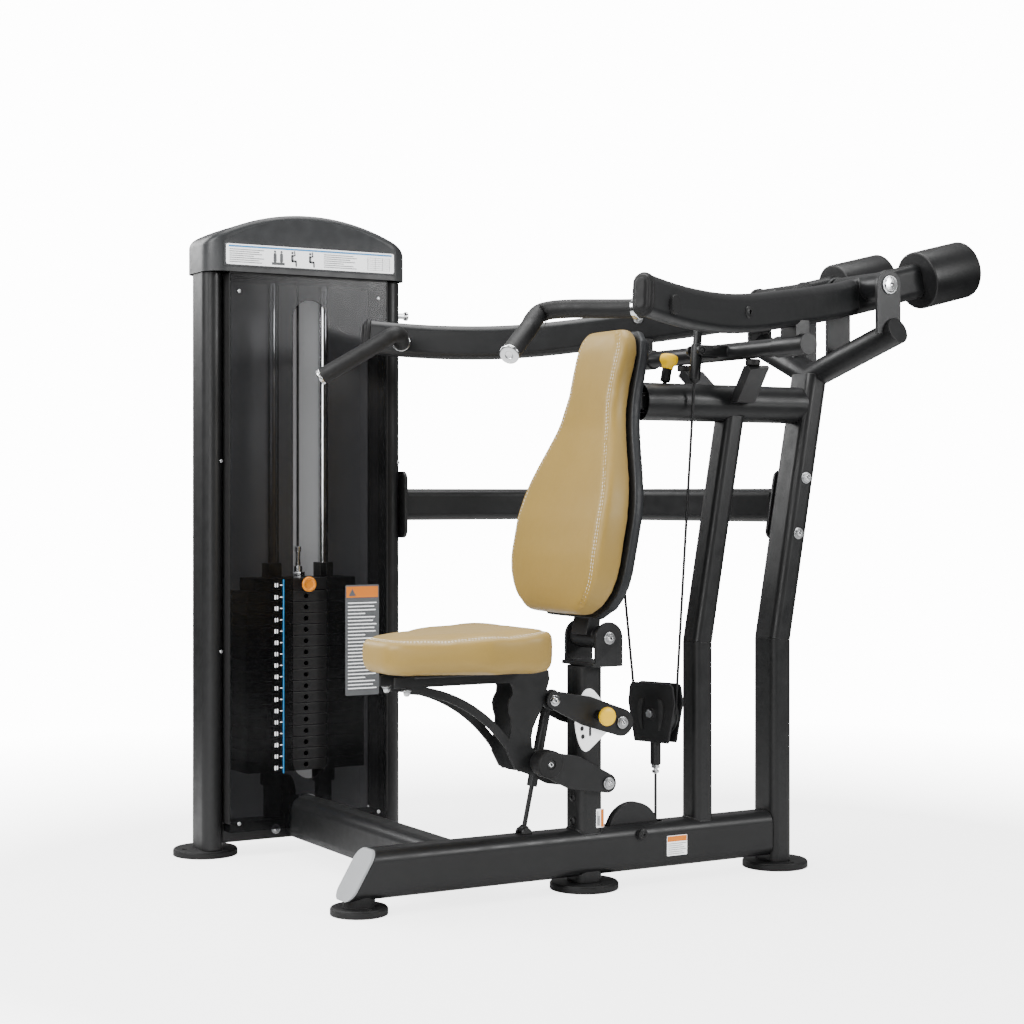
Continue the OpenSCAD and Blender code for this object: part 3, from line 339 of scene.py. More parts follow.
def turned(profile, start, axis, steps=48, closed=False):
    """Surface of revolution: profile is a list of (radius, height) along the axis."""
    bm = bmesh.new()
    turn = UP.rotation_difference(axis).to_matrix()
    rings = []
    for radius, height in profile:
        if radius < 1e-6:
            rings.append([bm.verts.new(start + turn @ Vector((0, 0, height)))])
            continue
        rings.append(ring_of(bm, start, turn, radius, steps, height))
    pairs = list(zip(rings, rings[1:]))
    if closed:
        pairs.append((rings[-1], rings[0]))
    for low, high in pairs:
        for k in range(steps):
            n = (k + 1) % steps
            corners = [low[k % len(low)], low[n % len(low)], high[n % len(high)], high[k % len(high)]]
            unique = [v for i, v in enumerate(corners) if v not in corners[:i]]
            if len(unique) > 2:
                bm.faces.new(unique)
    bmesh.ops.recalc_face_normals(bm, faces=bm.faces)
    return bm


def rounded(profile, radius, steps=3):
    """A lathe profile with its inner corners rounded."""
    out = [profile[0]]
    for a, b, c in zip(profile, profile[1:], profile[2:]):
        a, b, c = Vector(a), Vector(b), Vector(c)
        r = min(radius, (a - b).length * 0.45, (c - b).length * 0.45)
        p, q = b + (a - b).normalized() * r, b + (c - b).normalized() * r
        for i in range(steps + 1):
            t = i / steps
            out.append(tuple(p * (1 - t) ** 2 + b * 2 * t * (1 - t) + q * t * t))
    return out + [profile[-1]]


def refine(node, look, width=1.2, segments=2):
    """The CAD node with its hard edges broken by a small radius, as a finished part has."""
    bm = cad_mesh(node)
    sharp = [e for e in bm.edges if e.is_manifold and e.calc_face_angle(0) > BREAK_ANGLE]
    bmesh.ops.bevel(bm, geom=sharp, offset=width * MM, segments=segments, profile=0.5,
                    affect="EDGES", clamp_overlap=False)
    piece = solid(node + "_finish", bm, look, body_of[node])
    even_shading(piece)
    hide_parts(node)
    return piece


def evaluated(obj):
    """The object's mesh with its modifiers applied, as a new mesh; the object is removed."""
    graph = bpy.context.evaluated_depsgraph_get()
    mesh = bpy.data.meshes.new_from_object(obj.evaluated_get(graph))
    bpy.data.objects.remove(obj)
    return mesh


def moulded_mesh(node, voxel, rounds, grow=0.0):
    """The CAD node cast as one smooth moulding: remeshed evenly and its edges melted."""
    bm = cad_mesh(node, flat=False)
    mesh = bpy.data.meshes.new(node + "_cast")
    bm.to_mesh(mesh)
    bm.free()
    obj = placed(node + "_cast", mesh)
    mesh_over = obj.modifiers.new("voxels", "REMESH")
    mesh_over.mode, mesh_over.voxel_size = "VOXEL", voxel
    melt = obj.modifiers.new("melt", "SMOOTH")
    melt.factor, melt.iterations = 0.5, rounds
    if grow:
        swell = obj.modifiers.new("swell", "DISPLACE")
        swell.strength, swell.mid_level = grow, 0.0
    return evaluated(obj)


def moulded(node, look, voxel, rounds):
    mesh = moulded_mesh(node, voxel, rounds)
    piece = solid(node + "_moulding", mesh, look, body_of[node], sharp=180)
    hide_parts(node)


def prism(outline, base, depth, across, along, normal):
    """Flat outline (u, v) raised by depth; base is its place and across, along, normal its directions."""
    bm = bmesh.new()
    low = [bm.verts.new(base + across * u + along * v) for u, v in outline]
    high = [bm.verts.new(v.co + normal * depth) for v in low]
    bm.faces.new(low[::-1])
    bm.faces.new(high)
    bridge(bm, low, high)
    bmesh.ops.recalc_face_normals(bm, faces=bm.faces)
    return bm


def merged(parts):
    """Several bmeshes as one."""
    whole = bmesh.new()
    for bm in parts:
        mesh = bpy.data.meshes.new("part")
        bm.to_mesh(mesh)
        bm.free()
        whole.from_mesh(mesh)
        bpy.data.meshes.remove(mesh)
    return whole


def rect(u0, v0, u1, v1):
    return [(u0, v0), (u1, v0), (u1, v1), (u0, v1)]


def round_rect(width, height, radius, steps=6):
    pts = []
    for k, (sx, sy) in enumerate(((1, 1), (-1, 1), (-1, -1), (1, -1))):
        for i in range(steps + 1):
            a = math.radians(90 * (k + i / steps))
            pts.append((sx * (width / 2 - radius) + radius * math.cos(a),
                        sy * (height / 2 - radius) + radius * math.sin(a)))
    return pts


def capsule(p, q, r, steps=6):
    """Outline of a bar with round ends between two points."""
    p, q = Vector(p), Vector(q)
    lean = math.atan2(q.y - p.y, q.x - p.x)
    pts = []
    for centre, start in ((q, lean - math.pi / 2), (p, lean + math.pi / 2)):
        for i in range(steps + 1):
            a = start + math.pi * i / steps
            pts.append((centre.x + r * math.cos(a), centre.y + r * math.sin(a)))
    return pts


def resample(points, step, closed=True):
    """Points at even distances along a polyline."""
    line = [Vector(p) for p in points]
    if closed:
        line.append(line[0].copy())
    total = sum((b - a).length for a, b in zip(line, line[1:]))
    count = max(2, round(total / step))
    out, walked, i = [], 0.0, 0
    for k in range(count if closed else count + 1):
        target = total * k / count
        while i < len(line) - 2 and walked + (line[i + 1] - line[i]).length < target:
            walked += (line[i + 1] - line[i]).length
            i += 1
        span = (line[i + 1] - line[i]).length or 1
        out.append(line[i].lerp(line[i + 1], min(1, (target - walked) / span)))
    return out


def disc(centre, r, steps=16):
    return [(centre[0] + r * math.cos(2 * math.pi * k / steps),
             centre[1] + r * math.sin(2 * math.pi * k / steps)) for k in range(steps)]


def prints(name, outlines, base, look):
    """Printed flat shapes on a face of the tower or the frame that looks along X."""
    parts = [prism(o, base, PRINT_DEPTH, Y_AXIS, UP, X_AXIS) for o in outlines]
    solid(name, merged(parts), look, "root")


def button(place, axis, radius, height, socket=0.42):
    """Button-head screw with a socket."""
    hole = radius * socket
    profile = [(radius * 0.94, 0), (radius, height * 0.2), (radius * 0.93, height * 0.55),
               (radius * 0.72, height * 0.85), (hole * 1.15, height), (hole, height * 0.92)]
    head = turned([(0, 0), *profile, (hole * 0.96, height * 0.4)], place, axis, 36)
    well = turned([(hole * 0.96, height * 0.4), (0, height * 0.36)], place, axis, 6)
    return merged([head, well])


def washer(place, axis, radius, hole, height):
    ring = [(hole, 0), (radius, 0), (radius, height), (hole, height)]
    return turned(rounded(ring, 0.0005), place, axis, 40, closed=True)


def bead(name, path, radius):
    """Weld bead: a closed line of overlapping ripples."""
    bm = bmesh.new()
    sides, rings = 8, []
    count = len(path)
    for i, p in enumerate(path):
        along = (path[(i + 1) % count] - path[i - 1]).normalized()
        turn = UP.rotation_difference(along).to_matrix()
        r = radius * (1 + 0.16 * math.sin(i * 2.1))
        rings.append(ring_of(bm, p, turn, r, sides))
    for i, low in enumerate(rings):
        high = rings[(i + 1) % count]
        shift = min(range(sides), key=lambda q: (high[q].co - low[0].co).length)
        for k in range(sides):
            n = (k + 1) % sides
            bm.faces.new((low[k], low[n], high[(n + shift) % sides], high[(k + shift) % sides]))
    bmesh.ops.recalc_face_normals(bm, faces=bm.faces)
    solid(name, bm, "powder", "root", sharp=180)


# ---------- camera, light and stage ----------

def make_camera():
    data = bpy.data.cameras.new("camera")
    data.lens, data.sensor_width = 70.24, 36
    data.shift_y = -0.0186
    camera = placed("camera", data)
    camera.location = (3.582, -2.244, 0.835)
    camera.rotation_euler = (math.radians(90), 0, math.radians(60))
    bpy.context.scene.camera = camera


def area_light(name, place, aim, size, power):
    data = bpy.data.lights.new(name, "AREA")
    data.size, data.energy = size, power
    lamp = placed(name, data)
    lamp.location = place
    lamp.rotation_euler = (Vector(aim) - Vector(place)).to_track_quat("-Z", "Y").to_euler()


def camera_only(tree, other, seen):
    """A strength that is seen by the camera but doesn't light the object with the same force."""
    path = tree.nodes.new("ShaderNodeLightPath")
    mix = tree.nodes.new("ShaderNodeMix")
    mix.inputs[2].default_value, mix.inputs[3].default_value = other, seen
    tree.links.new(path.outputs["Is Camera Ray"], mix.inputs[0])
    return mix.outputs[0]


def floor_material():
    """Bright paper floor that keeps the contact shadows and fades to white away from the machine."""
    s = Surface("studio_floor")
    s.set(Base_Color=(0.8, 0.8, 0.8, 1), Roughness=0.8, Specular_IOR_Level=0.15)
    far = s.node("ShaderNodeVectorMath", operation="LENGTH")
    s.link(s.coords, far.inputs[0])
    paper = s.node("ShaderNodeEmission")
    s.link(camera_only(s.tree, 0.0, WHITE), paper.inputs["Strength"])
    glow = s.node("ShaderNodeEmission")
    s.link(camera_only(s.tree, 0.0, FLOOR_GLOW), glow.inputs["Strength"])
    near = s.node("ShaderNodeAddShader")
    s.link(s.shader.outputs[0], near.inputs[0])
    s.link(glow.outputs[0], near.inputs[1])
    fade = s.node("ShaderNodeMixShader")
    s.link(s.ranged(far.outputs["Value"], 0, 1, 1.3, 3.2), fade.inputs["Fac"])
    s.link(near.outputs[0], fade.inputs[1])
    s.link(paper.outputs[0], fade.inputs[2])
    s.link(fade.outputs[0], s.tree.nodes["Material Output"].inputs["Surface"])
    return s.material


def make_stage():
    bm = bmesh.new()
    bmesh.ops.create_grid(bm, x_segments=2, y_segments=2, size=40)
    mesh = bpy.data.meshes.new("studio_floor")
    bm.to_mesh(mesh)
    bm.free()
    mesh.materials.append(floor_material())
    floor = placed("studio_floor", mesh)
    world = bpy.data.worlds.new("studio")
    bpy.context.scene.world = world
    world.use_nodes = True
    back = world.node_tree.nodes["Background"]
    back.inputs["Color"].default_value = (1, 1, 1, 1)
    strength = camera_only(world.node_tree, 0.3, WHITE)
    world.node_tree.links.new(strength, back.inputs["Strength"])
    middle = (-0.25, 0, 0.8)
    area_light("key", (0.2, -4.2, 3.2), middle, 2.2, 260)
    area_light("top", (-0.4, 0.3, 4.4), middle, 3.0, 200)
    area_light("rear_side", (3.4, 2.2, 2.2), middle, 1.4, 110)
    area_light("front_low", (3.2, -3.4, 1.6), middle, 1.6, 60)
    area_light("tower_side", (-3.6, -1.6, 2.6), middle, 2.0, 110)


make_camera()
make_stage()


# ---------- frame and tower ----------

for name in ("base_rail", "base_link_tube", "tower_frame", "mid_upright", "rear_upright",
             "upper_beam", "beam_brackets", "mid_crossbeam", "arm_yoke", "back_clevis", "seat_brackets",
             "arm_hub", "cross_tube", "seat_upper_link", "seat_lower_link", "seat_carrier", "back_bracket",
             "back_slide", "cable_terminal", "seat_post"):
    refine(name, "powder")
refine("pivot_plates", "arm")
refine("rail_end_plate", "end_grey", 1.5)
refine("feet", "rubber", 1.6)
refine("weight_plates", "iron", 1.4)
refine("head_plate", "iron", 1.4)
refine("rubber_bumpers", "rubber", 2.0, 3)
refine("guide_rods", "chrome", 0.8)
refine("selector_stem", "chrome", 0.4, 1)
refine("index_plate", "white", 0.6)
refine("shroud_front", "smoked", 1.0)
# the rear sheet carries the painted glow of grey_sheet
refine("shroud_rear", "grey_sheet", 1.0)
refine("frame_bolts", "steel", 0.8)
refine("gas_rod", "iron", 0.6)
refine("gas_cylinder", "powder", 1.0)
for name in ("floor_pulley", "corner_pulley", "tower_pulley", "top_pulley", "block_pulley"):
    refine(name, "plastic", 0.6)
for name in ("left_arm", "right_arm"):
    refine(name, "arm", 0.8, 1)
refine("hand_grips", "rubber", 0.8, 1)
refine("cable_run", "jacket", 0.3, 1)


def arch(y, lo, hi, rise=0.068):
    """Height of the cap's arched top at a place across it."""
    half = (hi.y - lo.y) / 2
    radius = (half ** 2 + rise ** 2) / (2 * rise)
    return hi.z - radius + math.sqrt(radius ** 2 - min(abs(y - (lo.y + hi.y) / 2), half) ** 2)


def cap_rings(lo, hi, wall, edge):
    """Rings of points from the cap's lower rim up its side, over the rounded edge and in to the ridge."""
    centre = (lo + hi) / 2
    depth = (hi.x - lo.x) / 2 - wall
    turns = [math.radians(15 * i) for i in range(7)]
    steps = [(0.0, None)] + [(edge * (1 - math.cos(a)), math.sin(a)) for a in turns]
    steps += [(edge + (depth - edge) * k / 5, 1.0) for k in range(1, 6)]
    rings = []
    for inset, share in steps:
        cut = wall + inset
        corners = round_rect(hi.x - lo.x - 2 * cut, hi.y - lo.y - 2 * cut, max(0.0, 0.045 - cut), 10)
        ring = []
        for i, p in enumerate(corners):
            q = corners[(i + 1) % len(corners)]
            count = 28 if i % 11 == 10 else 1
            for k in range(count):
                u, v = p[0] + (q[0] - p[0]) * k / count, p[1] + (q[1] - p[1]) * k / count
                top = arch(centre.y + v, lo, hi) - wall
                z = lo.z if share is None else top - edge + edge * share
                ring.append(Vector((centre.x + u, centre.y + v, z)))
        rings.append(ring)
    return rings


def tower_cap():
    """Arched hood: a thin wall with round corners in plan and a rounded upper edge."""
    lo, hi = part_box("tower_cap")
    bm = bmesh.new()
    skins = []
    for wall, edge in ((0.0, 0.014), (0.0035, 0.0105)):
        skins.append([[bm.verts.new(p) for p in ring] for ring in cap_rings(lo, hi, wall, edge)])
    for rings in skins:
        for low, high in zip(rings, rings[1:]):
            bridge(bm, low, high)
    bridge(bm, skins[0][0], skins[1][0])
    bmesh.ops.remove_doubles(bm, verts=bm.verts, dist=1e-5)
    bmesh.ops.recalc_face_normals(bm, faces=bm.faces)
    cap = solid("tower_hood", bm, "cap", "root", sharp=50)
    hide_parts("tower_cap")
    middle, half = (lo.y + hi.y) / 2, (hi.y - lo.y) / 2 - 0.036
    foot, shoulder = lo.z + 0.011, arch(middle + half, lo, hi) - 0.022
    outline = [(middle - half, foot), (middle + half, foot)]
    for i in range(25):
        y = middle + half * (1 - i / 12)
        drop = (arch(middle + half, lo, hi) - 0.012 - shoulder) * abs(1 - i / 12) ** 3
        sag = arch(y, lo, hi) - 0.012 - drop
        outline.append((y, sag))
    panel = prism(outline, Vector((hi.x - 0.001, 0, 0)), 0.0022, Y_AXIS, UP, X_AXIS)
    soften(panel, 0.0009)
    even_shading(solid("cap_face", panel, "shell", "root"))


tower_cap()


def figure(y, z, size):
    """Outlines of a plain seated figure that presses upward, size tall."""
    def at(u, v):
        return (y + u * size, z + v * size)
    limbs = [((0, 0.36), (0, 0.68), 0.085), ((0, 0.34), (0.26, 0.34), 0.07),
             ((0.27, 0.34), (0.29, 0.04), 0.055), ((0.02, 0.68), (0.2, 0.72), 0.045),
             ((0.2, 0.72), (0.16, 0.98), 0.04)]
    return [capsule(at(*p), at(*q), r * size, 4) for p, q, r in limbs] + [disc(at(0.01, 0.88), 0.085 * size)]


def bars(y0, y1, z, count, step, thick, shares):
    """Rows of thin bars that stand for printed lines, each with its own length."""
    rows = []
    for i in range(count):
        end = y0 + (y1 - y0) * shares[i % len(shares)]
        rows.append(rect(y0, z - i * step, end, z - i * step + thick))
    return rows


def placard():
    lo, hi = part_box("placard")
    width, height = hi.y - lo.y, hi.z - lo.z
    middle = (lo + hi) / 2
    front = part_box("tower_cap")[1].x + 0.001
    plate = prism(round_rect(width, height, 0.005), Vector((front, middle.y, middle.z)), hi.x - lo.x,
                  Y_AXIS, UP, X_AXIS)
    soften(plate, 0.0005)
    face = solid("placard_sheet", plate, "white", "root")
    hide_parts("placard")
    base = Vector((front + hi.x - lo.x, 0, 0))
    y0, top = lo.y + 0.008, hi.z
    stripe = [rect(lo.y + 0.006, top - 0.007, hi.y - 0.006, top - 0.003)]
    figures = figure(y0 + 0.155, lo.z + 0.003, 0.035) + figure(y0 + 0.2, lo.z + 0.003, 0.035)
    pair = [disc((y0 + 0.112 + dy, lo.z + 0.0345), 0.0028) for dy in (0, 0.016)]
    pair += [capsule((y0 + 0.112 + dy, lo.z + 0.013), (y0 + 0.112 + dy, lo.z + 0.028), 0.0038, 4)
             for dy in (0, 0.016)]
    figures += pair + [rect(y0 + 0.104, lo.z + 0.004, y0 + 0.136, lo.z + 0.01)]
    chart = [rect(hi.y - 0.07 + dy, lo.z + 0.006, hi.y - 0.0694 + dy, top - 0.012)
             for dy in (0, 0.02, 0.039, 0.058)]
    lines = (bars(y0, y0 + 0.085, top - 0.013, 7, 0.0048, 0.0016, (1, 0.86, 0.94, 0.7))
             + bars(y0 + 0.235, y0 + 0.32, top - 0.013, 7, 0.0048, 0.0016, (0.9, 1, 0.8, 0.95, 0.6))
             + bars(hi.y - 0.07, hi.y - 0.011, top - 0.013, 7, 0.0048, 0.0006, (1,)))
    prints("placard_stripe", stripe, base, "blue")
    prints("placard_figures", figures, base, "ink")
    prints("placard_lines", lines + chart, base, "ink")


placard()


def shroud_prints():
    """Weight scale beside the slot and a plain two-colour label on the front sheet."""
    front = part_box("shroud_front")[1].x
    face = Vector((front, 0, 0))
    plate_lo, plate_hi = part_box("weight_plates")
    middle = (plate_lo.y + plate_hi.y) / 2
    count = len(islands("weight_plates"))
    pitch = (plate_hi.z - plate_lo.z) / (count - 0.03)
    rows = [plate_lo.z + pitch * (i + 0.48) for i in range(count)] + [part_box("head_plate")[0].z + 0.014]
    line_y, tick_y = middle - 0.0675, middle - 0.082
    ticks = []
    for i, z in enumerate(rows):
        for j in range(2):
            y = tick_y - 0.006 + 0.0052 * j
            ticks.append(capsule((y, z - 0.0035), (y, z + 0.0035), 0.0013 if (i + j) % 3 else 0.0018, 3))
        ticks.append(capsule((tick_y + 0.0065, z), (tick_y + 0.011, z), 0.0009, 3))
    line = [capsule((line_y, rows[0] - 0.012), (line_y, rows[-1] + 0.012), 0.0016, 4)]
    prints("scale_ticks", ticks, face, "white")
    prints("scale_line", line, face, "blue")
    y0, y1, z0, z1 = middle + 0.09, middle + 0.178, 0.357, 0.618
    sheet = Vector((front, (y0 + y1) / 2, (z0 + z1) / 2))
    prints("safety_label", [round_rect(y1 - y0, z1 - z0, 0.004)], sheet, "ink")
    face = Vector((front + PRINT_DEPTH, 0, 0))
    prints("safety_label_head", [rect(y0 + 0.003, z1 - 0.03, y1 - 0.003, z1 - 0.004)], face, "label_orange")
    rows = bars(y0 + 0.007, y1 - 0.007, z1 - 0.044, 25, 0.0084, 0.0024, (1, 0.92, 0.97, 0.6, 0.95, 0.88))
    prints("safety_label_lines", rows, face, "white")
    face = Vector((front + 2 * PRINT_DEPTH, 0, 0))
    mark = [[(y0 + 0.009, z1 - 0.026), (y0 + 0.027, z1 - 0.026), (y0 + 0.018, z1 - 0.009)]]
    prints("safety_label_mark", mark, face, "ink")


shroud_prints()


def sticker(tag, x, y0, y1, z0, z1, band):
    """White sticker with an orange band on its top or on its rear side, and bars for lines of print."""
    middle = Vector((x, (y0 + y1) / 2, (z0 + z1) / 2))
    prints(tag + "_sticker", [round_rect(y1 - y0, z1 - z0, 0.0015)], middle, "white")
    face = Vector((x + PRINT_DEPTH, 0, 0))
    if band == "side":
        edge = y0 + 0.6 * (y1 - y0)
        head = rect(edge, z0 + 0.001, y1 - 0.0008, z1 - 0.001)
        step = (edge - y0 - 0.004) / 4
        rows = [rect(y0 + 0.002 + i * step, z0 + 0.004, y0 + 0.0032 + i * step, z1 - 0.004 - 0.01 * (i % 2))
                for i in range(4)]
    else:
        edge = z1 - 0.3 * (z1 - z0)
        head = rect(y0 + 0.001, edge, y1 - 0.001, z1 - 0.001)
        rows = bars(y0 + 0.003, y1 - 0.003, edge - 0.005, 6, (edge - z0 - 0.004) / 6, 0.0012, (1, 0.8, 0.9))
    prints(tag + "_sticker_head", [head], face, "label_orange")
    prints(tag + "_sticker_lines", rows, face, "ink")


sticker("post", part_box("seat_post")[1].x, 0.0095, 0.0285, 0.131, 0.17, "side")
sticker("rail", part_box("base_rail")[1].x, 0.186, 0.238, 0.056, 0.099, "top")


def weld_beads():
    """Welds where the post and the middle upright meet the rail."""
    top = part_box("base_rail")[1].z
    post_lo, post_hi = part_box("seat_post")
    foot = [v.co for v in nodes["mid_upright"].data.vertices if abs(v.co.z - top) < 0.03]
    for tag, y0, y1, x1 in (("post", post_lo.y, post_hi.y, post_hi.x),
                            ("mid", min(p.y for p in foot), max(p.y for p in foot),
                             max(p.x for p in foot))):
        path = resample(round_rect(2 * x1, y1 - y0, 0.016, 8), 0.004)
        middle = (y0 + y1) / 2
        bead(tag + "_weld", [Vector((p.x, middle + p.y, rail_height(p.x, top))) for p in path], 0.0022)


def rail_height(x, top, radius=0.024):
    """Height of the rounded rail's upper side at a distance from its middle."""
    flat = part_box("base_rail")[1].x - radius
    over = max(0.0, abs(x) - flat)
    return top - radius + math.sqrt(max(0.0, radius ** 2 - min(over, radius) ** 2))


def sheet_seals():
    """Rubber seals between the sheets, the columns and the cap."""
    lo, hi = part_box("shroud_front")
    rear_lo, rear_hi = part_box("shroud_rear")
    cap_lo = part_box("tower_cap")[0]
    parts = []
    for y in (lo.y - 0.0012, hi.y + 0.0012):
        for x0, x1 in ((rear_lo.x, rear_hi.x + 0.004), (lo.x - 0.004, hi.x - 0.001)):
            parts.append(prism(rect(x0, y - 0.0018, x1, y + 0.0018), Vector((0, 0, lo.z + 0.02)),
                               hi.z - lo.z - 0.02, X_AXIS, Y_AXIS, UP))
    for x0, x1 in ((hi.x - 0.006, hi.x - 0.0006), (rear_lo.x + 0.0006, rear_lo.x + 0.006)):
        outline = round_rect(x1 - x0, hi.y - lo.y + 0.004, 0.0015)
        base = Vector(((x0 + x1) / 2, (lo.y + hi.y) / 2, hi.z - 0.004))
        parts.append(prism(outline, base, cap_lo.z - hi.z + 0.014, X_AXIS, Y_AXIS, UP))
    solid("sheet_seals", merged(parts), "rubber", "root")


def tower_screws():
    """Button screws on the columns and the sheet's corners."""
    lo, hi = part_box("tower_frame")
    sheet_lo, sheet_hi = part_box("shroud_front")
    parts = []
    for y in (lo.y + 0.039, hi.y - 0.011):
        for z in (0.472, 0.908):
            parts.append(button(Vector((hi.x, y, z)), X_AXIS, 0.004, 0.0022))
    solid("column_screws", merged(parts), "steel", "root")
    parts = []
    for y in (sheet_lo.y + 0.022, sheet_hi.y - 0.022):
        for z in (sheet_lo.z + 0.02, sheet_hi.z - 0.04):
            parts.append(button(Vector((sheet_hi.x, y, z)), X_AXIS, 0.0045, 0.0024))
    solid("sheet_screws", merged(parts), "steel", "root")


sheet_seals()
tower_screws()
weld_beads()


# ---------- bolts and pins ----------

def surface_tree(mesh):
    return BVHTree.FromPolygons([v.co for v in mesh.vertices], [tuple(p.vertices) for p in mesh.polygons])


def disc_ends(points, smallest=0.0075):
    """Round ends of a solid that lies along X: (place, side, radius) of each."""
    ends = []
    for side in (1, -1):
        x = max(p.x * side for p in points) * side
        end = [p for p in points if abs(p.x - x) < 1e-4]
        spans = [(min(p[i] for p in end), max(p[i] for p in end)) for i in (1, 2)]
        wide = [b - a for a, b in spans]
        if abs(wide[0] - wide[1]) < 0.001 and wide[0] / 2 > smallest and len(end) >= 12:
            ends.append((Vector((x, sum(spans[0]) / 2, sum(spans[1]) / 2)), side, wide[0] / 2))
    return ends


def bolt_sockets():
    """Heads with sockets on the pins and bolts of the frame; the pulley's own bolt is black."""
    chromed, black = [], []
    pulley = joint_at["floor_pulley_spin"]
    shaft = joint_at["press_arms"]
    for points, _ in islands("frame_bolts"):
        for place, side, radius in disc_ends(points):
            flat = Vector((0, place.y, place.z))
            near_pulley = (flat - Vector((0, pulley.y, pulley.z))).length < 0.01
            target = black if near_pulley else chromed
            if (flat - Vector((0, shaft.y, shaft.z))).length < 0.01:
                dimple = [(radius * 0.98, 0), (radius * 0.9, 0.0022), (radius * 0.34, 0.0028),
                          (radius * 0.2, 0.0012), (0, 0.0004)]
                target.append(turned([(0, 0), *dimple], place, X_AXIS * side, 40))
            else:
                if near_pulley:
                    cover = [(radius * 1.22, -0.0061), (radius * 1.22, -0.0036), (radius * 1.04, -0.0034),
                             (radius * 1.04, 0.0002), (radius * 0.9, 0.0008), (0, 0.0008)]
                    target.append(turned(cover, place, X_AXIS * side, 40))
                target.append(button(place - X_AXIS * side * 0.0005, X_AXIS * side, radius * 0.6,
                                     radius * 0.36, 0.45))
    solid("bolt_heads", merged(chromed), "chrome", "root")
    solid("pulley_bolt_heads", merged(black), "iron", "root")


def seat_screws():
    """Pivot screws of the seat's links, the cushion's fixing screws and two screws on the post."""
    link_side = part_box("seat_upper_link")[1].x
    place = joint_at["seat_levelling"]
    parts = []
    for side in (1, -1):
        at = Vector((side * (link_side + 0.002), place.y, place.z))
        parts.append(washer(at - X_AXIS * side * 0.002, X_AXIS * side, 0.0115, 0.006, 0.0022))
        parts.append(button(at, X_AXIS * side, 0.0078, 0.0045, 0.4))
    solid("link_screws", merged(parts), "chrome", "seat_upper_link")
    lo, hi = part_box("seat_carrier")
    parts = []
    for side in (1, -1):
        at = Vector((side * 0.045, lo.y + 0.022, hi.z - 0.03))
        parts.append(button(at, -UP, 0.0075, 0.012, 0.4))
        parts.append(washer(at + UP * 0.0005, -UP, 0.0105, 0.004, 0.002))
    solid("cushion_screws", merged(parts), "steel", "seat_carrier")
    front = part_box("seat_post")[0].y
    parts = [button(Vector((0.004, front, z)), -Y_AXIS, 0.009, 0.005, 0.4) for z in (0.145, 0.195)]
    solid("post_screws", merged(parts), "iron", "root")


def roller_screws():
    """Screw and recess in each roller's outer face."""
    parts = []
    for points, _ in islands("seat_rollers"):
        low = Vector([min(p[i] for p in points) for i in range(3)])
        high = Vector([max(p[i] for p in points) for i in range(3)])
        middle = (low + high) / 2
        side = 1 if middle.x > 0 else -1
        outer = high.x if side > 0 else low.x
        place = Vector((outer - side * 0.004, middle.y, middle.z))
        parts.append(washer(place, X_AXIS * side, 0.0095, 0.004, 0.0015))
        parts.append(button(place, X_AXIS * side, 0.0065, 0.0045, 0.42))
    solid("roller_screws", merged(parts), "chrome", "seat_carrier")


def arm_screws():
    """Dark bolt heads on the arms' outer faces and a bright one on the far arm's inner face."""
    dark, bright = [], []
    for node in ("left_arm", "right_arm"):
        tree = surface_tree(nodes[node].data)
        side = 1 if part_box(node)[0].x > 0 else -1
        for start, way, bolts in ((side * 0.9, -side, dark), (side * 0.2, side, bright)):
            place = (start, 0.1156, 1.1894) if bolts is dark else (start, 0.3205, 1.2387)
            hit = tree.ray_cast(Vector(place), X_AXIS * way)
            if hit[0]:
                bolts.append(button(hit[0] - hit[1] * 0.0004, hit[1], 0.012, 0.006, 0.36))
    solid("arm_bolt_heads", merged(dark), "iron", "press_arms")
    solid("arm_inner_bolts", merged(bright), "steel", "press_arms")


bolt_sockets()
seat_screws()
roller_screws()


# ---------- press arms ----------

def counterweights():
    """Turned weights with broken edges and a slightly dished outer face."""
    parts = []
    for points, faces in islands("counterweights"):
        start, axis, length, radius = round_part(points, faces)
        if axis.y < 0:
            start, axis = start + axis * length, -axis
        profile = [(0, 0), (radius, 0), (radius, length), (radius * 0.9, length),
                   (radius * 0.88, length - 0.0025), (0, length - 0.0025)]
        parts.append(turned(rounded(profile, 0.004), start, axis, 72))
    piece = solid("counterweight_pair", merged(parts), "iron", "press_arms")
    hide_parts("counterweights")


def grip_fittings():
    """Chrome collars and flared end caps on the hand grips."""
    parts = []
    for points, faces in islands("grip_caps"):
        start, axis, length, radius = round_part(points, faces)
        if axis.y > 0:
            start, axis = start + axis * length, -axis
        outer = start.y < -0.38
        if outer:
            profile = [(0, -0.001), (radius * 0.93, -0.001), (radius, length * 0.3), (radius, length * 0.8),
                       (radius * 0.86, length), (radius * 0.42, length * 1.02), (radius * 0.36, length * 0.8),
                       (0, length * 0.78)]
        else:
            profile = [(radius * 0.8, 0), (radius * 0.97, 0), (radius, length * 0.2), (radius, length * 0.8),
                       (radius * 0.97, length), (radius * 0.8, length)]
        parts.append(turned(rounded(profile, 0.0016), start, axis, 56, closed=not outer))
    piece = solid("grip_fitting_set", merged(parts), "chrome", "press_arms")
    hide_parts("grip_caps")


counterweights()
grip_fittings()
arm_screws()
moulded("arm_end_caps", "rubber", 0.0018, 10)


# ---------- cables ----------

